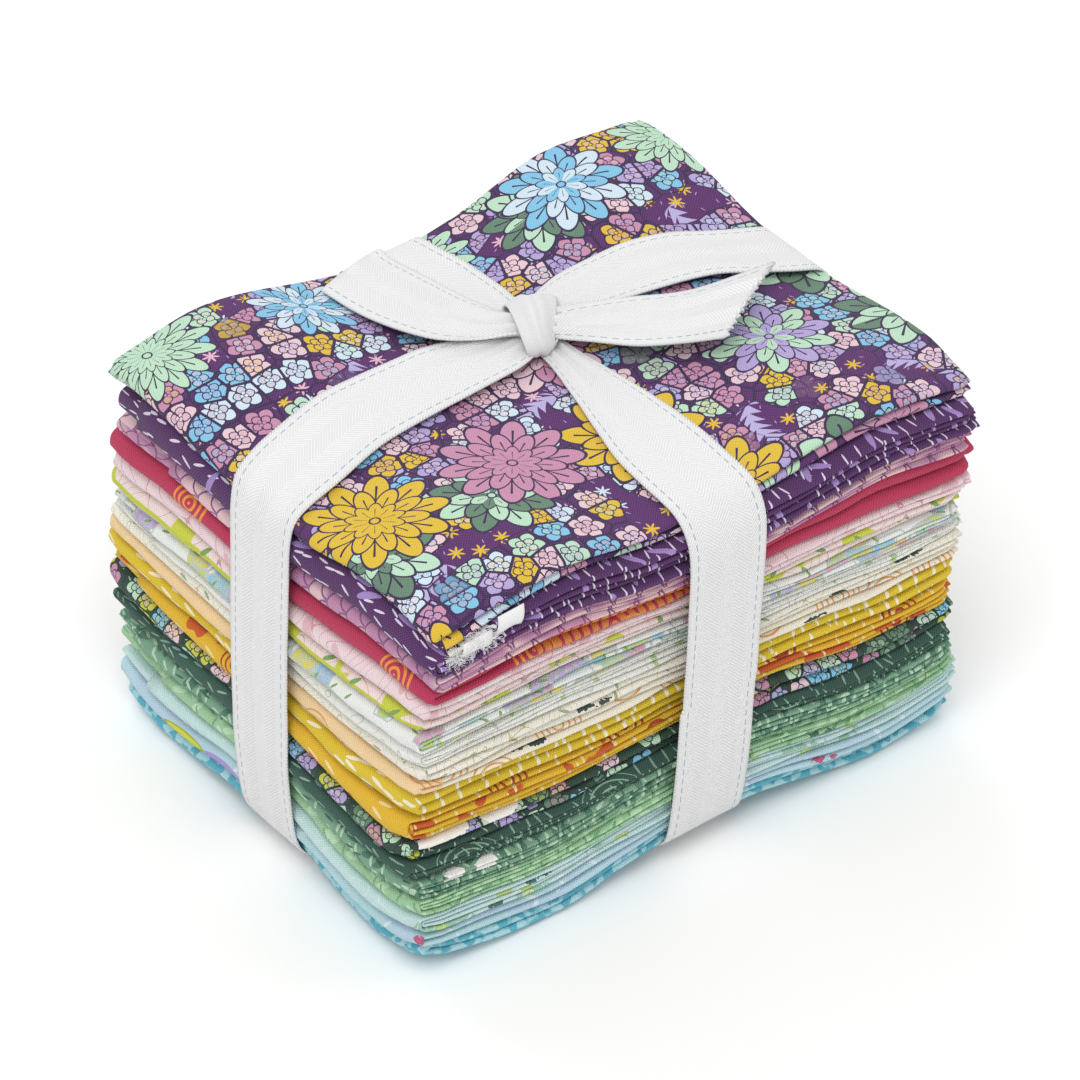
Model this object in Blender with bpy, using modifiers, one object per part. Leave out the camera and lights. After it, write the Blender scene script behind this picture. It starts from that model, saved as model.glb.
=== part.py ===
"""Fat quarter bundle: nineteen folded pieces of quilting cotton, stacked and tied with one ribbon.

Every fat quarter is folded the same way: both ends to the middle, then in half like a book. Its section,
seen from the front, is four plies, with one wide fold on the left and two narrow folds on the right.
The stack is pressed along the two lines where the ribbon crosses it, and swells between them.

Millimetres are used throughout and turned to metres when a mesh is finished. +X runs along the front to the
right, +Y to the back, +Z up. The surface that the bundle rests on is z = 0.
"""
from collections import namedtuple
import math

import bmesh
import bpy
from mathutils import Matrix, Vector

MM = 0.001

# Folded cloth
FOLDED_WIDTH = 150.0      # from the wide fold to the narrow folds
FOLDED_DEPTH = 121.0      # front to back
PLY = 1.0                 # one ply: four layers of cotton pressed together
PLY_GAP = 0.2
PIECE_GAP = 0.33
PLIES = 4
FLAP_SHORT = 14.0         # how far the two inner ends stop short of the wide fold
PITCH = PLY + PLY_GAP
PIECE_HEIGHT = PLIES * PLY + (PLIES - 1) * PLY_GAP
WIDE_FOLD_STEPS = 4
NARROW_FOLD_STEPS = 2
SHARP_BEND = math.radians(50.0)   # a bend sharper than this keeps a hard line

# Ribbon
TAPE = 1.0
TAPE_GAP = 0.55           # air between the cloth and the tape
SHORT_EDGE = 2.2          # bends of the tape closer than this are joined into one
SLIGHT_BEND = 0.1         # bends of the tape slighter than this are left out

# One row for each fat quarter, from the top: how far it is turned, how far it lies to the right and to the
# back, and how much wider and deeper it is than the sizes above.
Piece = namedtuple("Piece", "cloth colour turn right back wider deeper")
PIECES = (
    Piece("purple floral", "553063", -0.1, 1.6, 0.0, 1.7, 0.5),
    Piece("purple dashes", "4A2A5C", -1.2, 0.8, -2.0, 1.3, 1.6),
    Piece("mauve scales", "C79AB4", -0.8, 0.4, -1.0, 0.2, 2.6),
    Piece("crimson", "B52E52", -1.3, 1.1, -0.2, 2.6, 2.3),
    Piece("pale blush", "EFD9D8", -1.6, 0.7, -0.7, 2.6, 2.1),
    Piece("blush and lime", "EBDDD2", -2.0, -0.3, 0.1, 1.0, 1.4),
    Piece("pastel floral", "E4E6E6", -2.2, -0.5, 0.1, 2.4, 1.1),
    Piece("white", "EDEEE9", -2.0, 0.2, 0.5, 2.4, 1.3),
    Piece("cream lines", "EEEBE0", -2.0, 0.4, 0.4, 2.1, 2.3),
    Piece("peach", "F0C88E", -2.0, -0.4, 0.7, 1.8, 2.1),
    Piece("mustard dashes", "DDB014", -2.5, -0.1, 1.2, 2.4, 1.8),
    Piece("golden orange", "E0A020", -2.9, -0.7, 1.4, 2.6, 1.2),
    Piece("green floral", "2F5548", -3.2, -0.7, 1.2, 3.4, 1.3),
    Piece("dark green", "3C6350", -3.1, -2.1, -0.3, 2.0, 1.7),
    Piece("sage leaves", "86AE92", -2.9, -2.4, -1.4, 1.1, 1.5),
    Piece("mint", "A9D2AE", -2.4, -1.6, -1.2, 1.9, 1.4),
    Piece("pale blue leaves", "BBD3DF", -2.3, -1.0, -1.5, 3.6, 0.0),
    Piece("blue lilac", "B9D6E6", -2.6, -1.3, -2.0, 2.6, -1.0),
    Piece("aqua", "6FC0D2", -1.6, -0.7, -1.3, 0.6, -1.1),
)
STACK_HEIGHT = len(PIECES) * (PIECE_HEIGHT + PIECE_GAP) - PIECE_GAP

# Heights of the stack's top and underside where these lines cross, from the left edge to the right and from
# the front edge to the back. The tape runs between the middle two lines of each set. The zeros of the
# underside make a flat facet near each corner, and the bundle rests on those four.
LEFT_TO_RIGHT = (-80.0, -44.0, -11.0, 15.0, 48.0, 80.0)
FRONT_TO_BACK = (-64.0, -36.0, -9.0, 18.0, 42.0, 64.0)
TOP = (
    (96.5, 103.5, 97.2, 97.2, 101.6, 95.5),
    (101.5, 104.9, 98.6, 98.6, 103.0, 97.5),
    (96.6, 100.0, 98.6, 98.6, 98.8, 93.3),
    (96.6, 100.0, 98.6, 98.6, 98.8, 93.3),
    (102.6, 106.0, 95.6, 95.6, 106.0, 100.5),
    (98.5, 104.2, 93.8, 93.8, 104.2, 99.5),
)
UNDERSIDE = (
    (8.5, 0.0, 7.6, 7.6, 0.0, 7.5),
    (0.0, 0.0, 7.6, 7.6, 0.0, 0.0),
    (6.4, 6.4, 7.6, 7.6, 6.0, 6.0),
    (6.4, 6.4, 7.6, 7.6, 6.0, 6.0),
    (0.0, 0.0, 7.6, 7.6, 0.0, 0.0),
    (5.5, 0.0, 7.6, 7.6, 0.0, 5.5),
)

# Where the edges of the tape run. A row for each place round the stack: how far along and how high it is, and
# where the two edges of the tape lie there. The tape narrows where it is gathered into the knot.
Edges = namedtuple("Edges", "along height near far")
LEFT_TO_RIGHT_BAND = (
    Edges(-76.0, 2.0, -12.0, 8.0),
    Edges(-77.0, 94.0, -9.4, 11.9),
    Edges(-62.0, 100.0, -6.5, 17.0),
    Edges(-40.0, 100.0, -1.5, 21.0),
    Edges(-20.0, 100.0, 0.0, 20.5),
    Edges(-5.0, 100.0, 0.5, 16.5),
    Edges(6.0, 100.0, 4.0, 14.5),
    Edges(15.0, 100.0, 9.0, 20.0),
    Edges(27.0, 100.0, 7.5, 23.5),
    Edges(41.0, 100.0, 5.0, 24.0),
    Edges(54.0, 100.0, 2.0, 21.5),
    Edges(67.0, 100.0, -2.5, 17.5),
    Edges(77.0, 96.0, -6.0, 14.5),
    Edges(77.0, 2.0, -9.0, 12.0),
)
FRONT_TO_BACK_BAND = (
    Edges(-62.0, 5.0, -11.7, 9.8),
    Edges(-62.0, 80.0, -8.2, 13.0),
    Edges(-56.0, 100.0, -8.0, 14.0),
    Edges(-40.0, 100.0, -6.8, 15.0),
    Edges(-26.0, 100.0, -3.5, 14.5),
    Edges(-12.0, 100.0, 0.5, 12.8),
    Edges(4.0, 100.0, 3.5, 11.0),
    Edges(14.0, 100.0, 1.5, 11.5),
    Edges(22.0, 100.0, -4.0, 12.6),
    Edges(32.0, 100.0, -6.5, 13.8),
    Edges(45.0, 100.0, -7.5, 14.0),
    Edges(58.0, 100.0, -8.5, 12.6),
    Edges(64.0, 80.0, -9.0, 12.2),
    Edges(64.0, 5.0, -10.8, 10.6),
)

# Lumps of the knot: place, half sizes and how far each is turned.
Lump = namedtuple("Lump", "x y z half_long half_wide half_high turn")
KNOT = (
    Lump(7.0, 8.6, 103.6, 7.6, 4.8, 4.4, 52.0),
    Lump(1.9, 10.4, 102.5, 5.6, 4.0, 2.5, 157.0),
    Lump(12.9, 8.6, 102.7, 5.3, 3.7, 2.4, -13.0),
)

# The two free ends of the tape: a row for each line across the tape, with the points on its left and right
# edge as somebody looks from the knot to the cut end.
Across = namedtuple("Across", "left_x left_y left_z right_x right_y right_z")
RIGHT_END = (
    Across(10.0, 11.5, 103.2, 7.5, 4.5, 103.2),
    Across(19.0, 9.0, 102.9, 13.0, -2.5, 103.0),
    Across(30.0, 4.8, 102.6, 19.5, -11.5, 103.6),
    Across(43.0, -1.5, 102.4, 27.0, -18.0, 104.6),
    Across(65.0, -5.0, 102.0, 35.0, -23.5, 105.4),
)
BACK_END = (
    Across(5.0, 5.5, 103.2, 9.0, 12.0, 103.2),
    Across(-7.5, 13.0, 102.8, 4.0, 20.0, 102.6),
    Across(-15.0, 21.0, 102.4, 1.5, 28.0, 102.0),
    Across(-19.8, 36.0, 101.4, 0.5, 40.5, 100.4),
    Across(-21.2, 50.0, 100.4, -0.6, 53.0, 98.8),
    Across(-21.4, 53.0, 100.0, 0.0, 62.0, 98.0),
    Across(-16.0, 57.0, 99.2, 0.2, 66.0, 96.5),
    Across(-11.0, 61.3, 98.6, 0.3, 67.4, 90.0),
)


def linear_from_hex(hex_colour):
    """Turn an sRGB hex colour into the linear values that a shader takes."""
    channels = [int(hex_colour[i:i + 2], 16) / 255 for i in (0, 2, 4)]
    return [c / 12.92 if c <= 0.04045 else ((c + 0.055) / 1.055) ** 2.4 for c in channels]


def make_material(name, hex_colour, roughness):
    material = bpy.data.materials.new(name)
    material.use_nodes = True
    shader = material.node_tree.nodes["Principled BSDF"]
    shader.inputs["Base Color"].default_value = (*linear_from_hex(hex_colour), 1.0)
    shader.inputs["Roughness"].default_value = roughness
    shader.inputs["Metallic"].default_value = 0.0
    return material


def clear_scene():
    for thing in list(bpy.data.objects):
        bpy.data.objects.remove(thing, do_unlink=True)


def make_object(name, mesh, collection):
    thing = bpy.data.objects.new(name, mesh)
    collection.objects.link(thing)
    return thing


def mesh_from_modifiers(thing):
    """Take an object's mesh with its modifiers on, and drop the modifiers."""
    bpy.context.view_layer.update()
    evaluated = thing.evaluated_get(bpy.context.evaluated_depsgraph_get())
    mesh = bpy.data.meshes.new_from_object(evaluated)
    thing.modifiers.clear()
    thing.data = mesh
    mesh.shade_smooth()
    mesh.set_sharp_from_angle(angle=SHARP_BEND)
    return mesh


# ---------------------------------------------------------------- the pressed shape of the stack

def height_at(heights, x, y):
    """Read a table of heights at any place: each field is two flat triangles."""
    column, row = line_before(LEFT_TO_RIGHT, x), line_before(FRONT_TO_BACK, y)
    right = (x - LEFT_TO_RIGHT[column]) / (LEFT_TO_RIGHT[column + 1] - LEFT_TO_RIGHT[column])
    back = (y - FRONT_TO_BACK[row]) / (FRONT_TO_BACK[row + 1] - FRONT_TO_BACK[row])
    near, far = heights[row], heights[row + 1]
    near_left, near_right, far_left, far_right = near[column], near[column + 1], far[column], far[column + 1]
    if falls_to_right(column, row):
        if right + back <= 1:
            return near_left + right * (near_right - near_left) + back * (far_left - near_left)
        return far_right + (1 - right) * (far_left - far_right) + (1 - back) * (near_right - far_right)
    if back <= right:
        return near_left + right * (near_right - near_left) + back * (far_right - near_right)
    return near_left + back * (far_left - near_left) + right * (far_right - far_left)


def falls_to_right(column, row):
    """Whether a field's crease runs from its far left corner to its near right corner."""
    middle_x = (LEFT_TO_RIGHT[column] + LEFT_TO_RIGHT[column + 1]) / 2
    middle_y = (FRONT_TO_BACK[row] + FRONT_TO_BACK[row + 1]) / 2
    return middle_x * middle_y > 0


def is_bent(column, row):
    """Whether a field's four heights are out of one plane, in the top or the underside."""
    for heights in (TOP, UNDERSIDE):
        near, far = heights[row], heights[row + 1]
        if abs(near[column] - near[column + 1] - far[column] + far[column + 1]) > 0.01:
            return True
    return False


def line_before(lines, value):
    """The number of the last line that lies before a value, kept inside the table."""
    inner = [number for number, line in enumerate(lines[:-1]) if line <= value]
    return inner[-1] if inner else 0


def pressed(x, y, level):
    """The real height of a point that is this high in the loose, level stack."""
    low = height_at(UNDERSIDE, x, y)
    high = height_at(TOP, x, y)
    return low + (high - low) * level / STACK_HEIGHT


# ---------------------------------------------------------------- fat quarters

def arc(centre_x, centre_z, radius, start, end, steps):
    """Points round an arc, angles in degrees from +X towards +Z."""
    angles = [math.radians(start + (end - start) * i / steps) for i in range(steps + 1)]
    return [(centre_x + radius * math.cos(a), centre_z + radius * math.sin(a)) for a in angles]


def fold_path(width):
    """The middle line of the folded cloth's section, from one inner end round to the other."""
    levels = [PLY / 2 + PITCH * ply for ply in range(PLIES)]
    left, right = -width / 2 + PLY / 2, width / 2 - PLY / 2
    narrow = PITCH / 2
    wide = (levels[3] - levels[0]) / 2
    path = [(left + wide + FLAP_SHORT, levels[1])]
    path += arc(right - narrow, levels[0] + narrow, narrow, 90, -90, NARROW_FOLD_STEPS)
    path += arc(left + wide, levels[0] + wide, wide, 270, 90, WIDE_FOLD_STEPS)
    path += arc(right - narrow, levels[2] + narrow, narrow, 90, -90, NARROW_FOLD_STEPS)
    path += [(left + wide + FLAP_SHORT, levels[2])]
    return path


def folded_sheet(piece):
    """The folded cloth as an open sheet, level and loose, turned and moved to its place."""
    width = FOLDED_WIDTH + piece.wider
    depth = FOLDED_DEPTH + piece.deeper
    sheet = bmesh.new()
    points = [sheet.verts.new((x, -depth / 2, z)) for x, z in fold_path(width)]
    edges = [sheet.edges.new(pair) for pair in zip(points, points[1:])]
    swept = bmesh.ops.extrude_edge_only(sheet, edges=edges)
    far_points = [g for g in swept["geom"] if isinstance(g, bmesh.types.BMVert)]
    bmesh.ops.translate(sheet, verts=far_points, vec=(0, depth, 0))
    turn = Matrix.Rotation(math.radians(piece.turn), 3, "Z")
    bmesh.ops.rotate(sheet, verts=sheet.verts, cent=(0, 0, 0), matrix=turn)
    bmesh.ops.translate(sheet, verts=sheet.verts, vec=(piece.right, piece.back, 0))
    return sheet


def crease_sheet(sheet):
    """Cut the sheet where the pressed shape changes slope."""
    for x in LEFT_TO_RIGHT[1:-1]:
        cut_faces(sheet, sheet.faces[:], (x, 0, 0), (1, 0, 0))
    for y in FRONT_TO_BACK[1:-1]:
        cut_faces(sheet, sheet.faces[:], (0, y, 0), (0, 1, 0))
    for column in range(len(LEFT_TO_RIGHT) - 1):
        for row in range(len(FRONT_TO_BACK) - 1):
            if is_bent(column, row):
                cut_field(sheet, column, row)


def cut_field(sheet, column, row):
    """Cut the faces in one field along its diagonal crease."""
    left, right = LEFT_TO_RIGHT[column:column + 2]
    front, back = FRONT_TO_BACK[row:row + 2]
    inside = []
    for face in sheet.faces:
        centre = face.calc_center_median()
        if left < centre.x < right and front < centre.y < back:
            inside.append(face)
    if falls_to_right(column, row):
        cut_faces(sheet, inside, (left, back, 0), (back - front, right - left, 0))
    else:
        cut_faces(sheet, inside, (left, front, 0), (front - back, right - left, 0))


def cut_faces(sheet, faces, place, normal):
    edges = {edge for face in faces for edge in face.edges}
    verts = {vert for face in faces for vert in face.verts}
    bmesh.ops.bisect_plane(sheet, geom=[*verts, *edges, *faces], dist=1e-4, plane_co=Vector(place),
                           plane_no=Vector(normal).normalized())


def make_fat_quarter(number, piece, collection):
    """One folded piece: a creased sheet, thickened, then pressed into its place in the stack."""
    sheet = folded_sheet(piece)
    crease_sheet(sheet)
    bmesh.ops.recalc_face_normals(sheet, faces=sheet.faces)
    mesh = bpy.data.meshes.new("fat_quarter_%02d" % number)
    sheet.to_mesh(mesh)
    sheet.free()
    thing = make_object(mesh.name, mesh, collection)
    thicken = thing.modifiers.new("cloth thickness", "SOLIDIFY")
    thicken.thickness = PLY
    thicken.offset = 0.0
    thicken.use_quality_normals = True
    mesh = mesh_from_modifiers(thing)
    start = (len(PIECES) - number) * (PIECE_HEIGHT + PIECE_GAP)
    for vert in mesh.vertices:
        x, y, level = vert.co
        vert.co.z = pressed(x, y, start + level)
    thing.data.materials.append(make_material(piece.cloth, piece.colour, 0.9))
    return thing


# ---------------------------------------------------------------- ribbon

def convex_outline(points):
    """The tight outline round points in a plane, anticlockwise."""
    ordered = sorted(set(points))

    def half(run):
        chain = []
        for point in run:
            while len(chain) > 1 and turn_of(chain[-2], chain[-1], point) <= 1e-6:
                chain.pop()
            chain.append(point)
        return chain[:-1]

    return half(ordered) + half(reversed(ordered))


def turn_of(a, b, c):
    return (b[0] - a[0]) * (c[1] - a[1]) - (b[1] - a[1]) * (c[0] - a[0])


def crossing(a, b, c, d):
    """Where the line through a and b meets the line through c and d."""
    along = turn_of(c, d, a) / (turn_of(c, d, a) - turn_of(c, d, b))
    return (a[0] + (b[0] - a[0]) * along, a[1] + (b[1] - a[1]) * along)


def join_short_edges(outline):
    """Stretch the long edges of an outline over its short ones, always outwards."""
    points = list(outline)
    while len(points) > 8:
        lengths = [math.dist(points[i], points[(i + 1) % len(points)]) for i in range(len(points))]
        i = lengths.index(min(lengths))
        if lengths[i] > SHORT_EDGE:
            break
        before, start, end, after = (points[(i + k) % len(points)] for k in (-1, 0, 1, 2))
        points[i] = crossing(before, start, end, after)
        points.pop((i + 1) % len(points))
    return points


def angle_of(along, height):
    return math.atan2(height - STACK_HEIGHT / 2, along)


def edges_at(rows, along, height):
    """The two edges of a band at a place on its line, straight between the rows of its table."""
    here = angle_of(along, height)
    ordered = sorted((angle_of(row.along, row.height), row.near, row.far) for row in rows)
    first, last = ordered[0], ordered[-1]
    ring = [(last[0] - math.tau, *last[1:]), *ordered, (first[0] + math.tau, *first[1:])]
    for before, after in zip(ring, ring[1:]):
        if before[0] <= here <= after[0]:
            part = (here - before[0]) / (after[0] - before[0])
            return [before[k] + part * (after[k] - before[k]) for k in (1, 2)]
    return [first[1], first[2]]


def covered_points(things, rows, across):
    """The cloth under a band, seen along the band's width: points (along, height)."""
    other = 1 - across
    sides = (LEFT_TO_RIGHT if across == 0 else FRONT_TO_BACK)[2:4]
    lines = LEFT_TO_RIGHT if other == 0 else FRONT_TO_BACK
    points = []
    for thing in things:
        for vert in thing.data.vertices:
            near, far = edges_at(rows, vert.co[other], vert.co[2])
            if min(near, sides[0]) - 0.5 <= vert.co[across] <= max(far, sides[1]) + 0.5:
                points.append((vert.co[other], vert.co[2]))
    for along in range(int(lines[0]) + 4, int(lines[-1]) - 3, 3):
        for heights, height in ((TOP, 100.5), (UNDERSIDE, 3.8)):
            for side in edges_at(rows, along, height):
                x, y = (along, side) if other == 0 else (side, along)
                points.append((along, height_at(heights, x, y)))
    return points


def drop_slight_bends(outline):
    """Leave out the points that lie almost on the line between their neighbours."""
    points = list(outline)
    while len(points) > 8:
        count = len(points)
        bends = []
        for i in range(count):
            before, here, after = points[i - 1], points[i], points[(i + 1) % count]
            bends.append(abs(turn_of(before, here, after)) / math.dist(before, after))
        if min(bends) > SLIGHT_BEND:
            break
        points.pop(bends.index(min(bends)))
    return points


def tape_line(things, rows, across):
    """The closed line of a taut tape round the stack. across is the axis along the tape's width."""
    reach = TAPE_GAP + TAPE / 2
    circle = arc(0, 0, reach / math.cos(math.pi / 16), 0, 337.5, 15)
    outline = convex_outline(covered_points(things, rows, across))
    padded = convex_outline([(p[0] + c[0], p[1] + c[1]) for p in outline for c in circle])
    return with_places(drop_slight_bends(join_short_edges(padded)), rows)


def with_places(line, rows):
    """Add a point to the line wherever a row of the band's table lies between two of its points."""
    added = []
    for start, end in zip(line, line[1:] + line[:1]):
        added.append(start)
        for row in sorted(rows, key=lambda each: math.dist(start, (each.along, each.height))):
            if turn_of((0, STACK_HEIGHT / 2), start, end) == 0:
                continue
            target = (row.along, row.height)
            here = crossing(start, end, (0, STACK_HEIGHT / 2), target)
            gap = min(math.dist(here, start), math.dist(here, end))
            between = math.dist(start, here) + math.dist(here, end) - math.dist(start, end) < 1e-6
            if between and gap > SHORT_EDGE and math.dist(here, target) < 20 and here not in added:
                added.append(here)
    return added


def make_band(name, line, rows, across, collection):
    """A closed band of tape: its line, drawn out from one edge of the tape to the other, then thickened."""
    band = bmesh.new()
    spans = [edges_at(rows, u, z) for u, z in line]
    near = [(span[0], u, z) if across == 0 else (u, span[0], z) for span, (u, z) in zip(spans, line)]
    points = [band.verts.new(place) for place in near]
    edges = [band.edges.new((points[i - 1], points[i])) for i in range(len(points))]
    widths = {point: span[1] - span[0] for point, span in zip(points, spans)}
    swept = bmesh.ops.extrude_edge_only(band, edges=edges)
    far_points = [g for g in swept["geom"] if isinstance(g, bmesh.types.BMVert)]
    for point in far_points:
        partner = next(e.other_vert(point) for e in point.link_edges if e.other_vert(point) in widths)
        point.co[across] += widths[partner]
    return thickened(name, band, collection)


def make_end(name, rows, collection):
    """A free end of the tape: one edge across it, drawn out from row to row, then thickened."""
    strip = bmesh.new()
    first = rows[0]
    pair = [strip.verts.new((first.left_x, first.left_y, first.left_z)),
            strip.verts.new((first.right_x, first.right_y, first.right_z))]
    edge = strip.edges.new(pair)
    for row in rows[1:]:
        swept = bmesh.ops.extrude_edge_only(strip, edges=[edge])
        pair = [g for g in swept["geom"] if isinstance(g, bmesh.types.BMVert)]
        edge = next(g for g in swept["geom"] if isinstance(g, bmesh.types.BMEdge))
        pair = list(edge.verts)
        previous = rows[rows.index(row) - 1]
        was_left = Vector((previous.left_x, previous.left_y, previous.left_z))
        pair.sort(key=lambda vert: (vert.co - was_left).length)
        pair[0].co = (row.left_x, row.left_y, row.left_z)
        pair[1].co = (row.right_x, row.right_y, row.right_z)
    bmesh.ops.triangulate(strip, faces=strip.faces)
    return thickened(name, strip, collection)


def thickened(name, surface, collection):
    bmesh.ops.recalc_face_normals(surface, faces=surface.faces)
    mesh = bpy.data.meshes.new(name)
    surface.to_mesh(mesh)
    surface.free()
    thing = make_object(name, mesh, collection)
    thicken = thing.modifiers.new("tape thickness", "SOLIDIFY")
    thicken.thickness = TAPE
    thicken.offset = 0.0
    thicken.use_even_offset = True
    mesh_from_modifiers(thing)
    return thing


def make_lump(number, lump, collection):
    bpy.ops.mesh.primitive_uv_sphere_add(segments=12, ring_count=7, radius=1.0)
    thing = bpy.context.object
    for owner in list(thing.users_collection):
        owner.objects.unlink(thing)
    collection.objects.link(thing)
    thing.name = "knot lump %d" % number
    turn = Matrix.Rotation(math.radians(lump.turn), 4, "Z")
    sizes = Matrix.Diagonal((lump.half_long, lump.half_wide, lump.half_high, 1.0))
    thing.data.transform(Matrix.Translation((lump.x, lump.y, lump.z)) @ turn @ sizes)
    return thing


def make_ribbon(fat_quarters, collection, helpers):
    """One length of tape: two bands round the stack, the knot on top and two free ends, fused."""
    over_line = tape_line(fat_quarters, LEFT_TO_RIGHT_BAND, 1)
    round_line = tape_line(fat_quarters, FRONT_TO_BACK_BAND, 0)
    ribbon = make_band("ribbon", over_line, LEFT_TO_RIGHT_BAND, 1, collection)
    added = [make_band("band front to back", round_line, FRONT_TO_BACK_BAND, 0, helpers)]
    added += [make_lump(number, lump, helpers) for number, lump in enumerate(KNOT, 1)]
    added += [make_end("right end", RIGHT_END, helpers), make_end("back end", BACK_END, helpers)]
    for other in added:
        other.hide_render = True
        other.display_type = "WIRE"
        join = ribbon.modifiers.new("join " + other.name, "BOOLEAN")
        join.operation = "UNION"
        join.solver = "EXACT"
        join.object = other
    mesh = mesh_from_modifiers(ribbon)
    mesh.materials.clear()
    mesh.materials.append(make_material("white twill tape", "F2F1EE", 0.8))
    return ribbon


# ---------------------------------------------------------------- finish

def set_on_origin(things):
    """Turn millimetres to metres, with the middle of the box's underside at the origin."""
    places = [v.co for thing in things for v in thing.data.vertices]
    low = [min(p[i] for p in places) for i in range(3)]
    high = [max(p[i] for p in places) for i in range(3)]
    middle = Vector(((low[0] + high[0]) / 2, (low[1] + high[1]) / 2, low[2]))
    for thing in things:
        for vert in thing.data.vertices:
            vert.co = (vert.co - middle) * MM


def main():
    clear_scene()
    parts = bpy.data.collections.new("fat quarter bundle")
    helpers = bpy.data.collections.new("tape pieces before joining")
    for collection in (parts, helpers):
        bpy.context.scene.collection.children.link(collection)
    fat_quarters = [make_fat_quarter(number, piece, parts) for number, piece in enumerate(PIECES, 1)]
    ribbon = make_ribbon(fat_quarters, parts, helpers)
    set_on_origin(fat_quarters + [ribbon])


main()
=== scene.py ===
"""Looks of the fat quarter bundle: nineteen folded pieces of printed cotton, tied with one white tape.

Every fat quarter is one whole sheet of cotton, folded the way it was folded by hand: both short ends to the
middle, then in four across, then shut like a book. The sheets are pressed along the two lines of the tape.
The tape goes round the stack both ways and is tied on top.

Millimetres are used throughout and turned to metres when a mesh is made. +X runs along the front to the
right, +Y to the back, +Z up.
"""
from collections import namedtuple
import math

import bpy
import numpy as np
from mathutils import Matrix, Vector


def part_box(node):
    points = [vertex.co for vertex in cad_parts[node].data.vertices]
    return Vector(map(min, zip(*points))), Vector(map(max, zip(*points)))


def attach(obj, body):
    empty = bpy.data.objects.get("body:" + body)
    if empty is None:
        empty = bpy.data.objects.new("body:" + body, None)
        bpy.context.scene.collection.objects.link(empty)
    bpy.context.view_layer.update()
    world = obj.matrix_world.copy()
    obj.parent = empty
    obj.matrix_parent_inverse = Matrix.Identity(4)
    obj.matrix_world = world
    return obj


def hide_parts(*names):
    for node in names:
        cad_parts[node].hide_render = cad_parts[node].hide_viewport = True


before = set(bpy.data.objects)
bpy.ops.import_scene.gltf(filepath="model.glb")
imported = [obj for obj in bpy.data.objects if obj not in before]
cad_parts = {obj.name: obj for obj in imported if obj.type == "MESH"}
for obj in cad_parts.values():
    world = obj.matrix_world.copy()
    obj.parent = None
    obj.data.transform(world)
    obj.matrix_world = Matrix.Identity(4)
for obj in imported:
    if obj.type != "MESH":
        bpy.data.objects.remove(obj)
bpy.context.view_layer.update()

MM = 0.001

# ---------------------------------------------------------------- sizes

CLOTH_WIDTH = 559.0       # a fat quarter lying flat
CLOTH_LENGTH = 457.0
CLOTH_THICKNESS = 0.24
FOLDED_WIDTH = 150.0
FOLDED_DEPTH = 121.0
PIECE_HEIGHT = 4.6        # sixteen layers of cotton
PIECE_GAP = 0.33
LAYER = PIECE_HEIGHT / 16
PAIR = 2 * LAYER
TAPE_WIDTH = 21.5
TAPE_THICKNESS = 0.5

# One row for each fat quarter, from the top: how far it is turned, how far it lies to the right and to the
# back, how much wider and deeper it is than the sizes above, whether its front shows two round folds or four
# thin ones, how far the ends of its layers fan out at the right, and where the bare woven edge is seen at its
# front, from its left end.
Piece = namedtuple("Piece", "cloth turn right back wider deeper front fan bare", defaults=((),))
PIECES = (
    Piece("purple_floral", -0.1, 1.6, 0.0, 1.7, 0.5, "folds", 1.5),
    Piece("purple_dashes", -1.2, 1.4, -2.0, 2.5, 1.6, "thin", 2.5, ((5, 16),)),
    Piece("mauve_scales", -0.8, 0.4, -1.0, 0.2, 2.6, "thin", 1.5),
    Piece("crimson", -1.3, 1.1, -0.2, 2.6, 2.3, "folds", 1.5),
    Piece("pale_blush", -1.6, 0.7, -0.7, 2.6, 2.1, "folds", 1.0, ((10, 15.4), (17.4, 23))),
    Piece("blush_and_lime", -2.0, -0.3, 0.1, 1.0, 1.4, "folds", 1.5),
    Piece("pastel_floral", -2.2, -0.5, 0.1, 2.4, 1.1, "thin", 1.5),
    Piece("white", -2.0, 0.2, 0.5, 2.4, 1.3, "thin", 1.0),
    Piece("cream_lines", -2.0, 0.4, 0.4, 2.1, 2.3, "folds", 1.0),
    Piece("peach", -2.0, -0.4, 0.7, 1.8, 2.1, "folds", 1.0),
    Piece("mustard_dashes", -2.5, -0.1, 1.2, 2.4, 1.8, "folds", 1.5),
    Piece("golden_orange", -2.9, -0.7, 1.4, 2.6, 1.2, "thin", 1.0),
    Piece("green_floral", -3.2, -0.7, 1.2, 3.4, 1.3, "folds", 1.0, ((5, 19), (21.6, 29))),
    Piece("dark_green", -3.1, -2.1, -0.3, 2.0, 1.7, "thin", 1.0),
    Piece("sage_leaves", -2.9, -2.4, -1.4, 1.1, 1.5, "thin", 1.0, ((8, 14.5), (19.5, 24))),
    Piece("mint", -2.4, -1.6, -1.2, 1.9, 1.4, "thin", 1.0),
    Piece("pale_blue_leaves", -2.3, -1.0, -1.5, 3.6, 0.0, "thin", 1.5),
    Piece("blue_lilac", -2.6, -1.3, -2.0, 2.6, -1.0, "folds", 1.0),
    Piece("aqua", -1.6, -0.7, -1.3, 0.6, -1.1, "folds", 1.0),
)
STACK_HEIGHT = len(PIECES) * (PIECE_HEIGHT + PIECE_GAP) - PIECE_GAP

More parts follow.
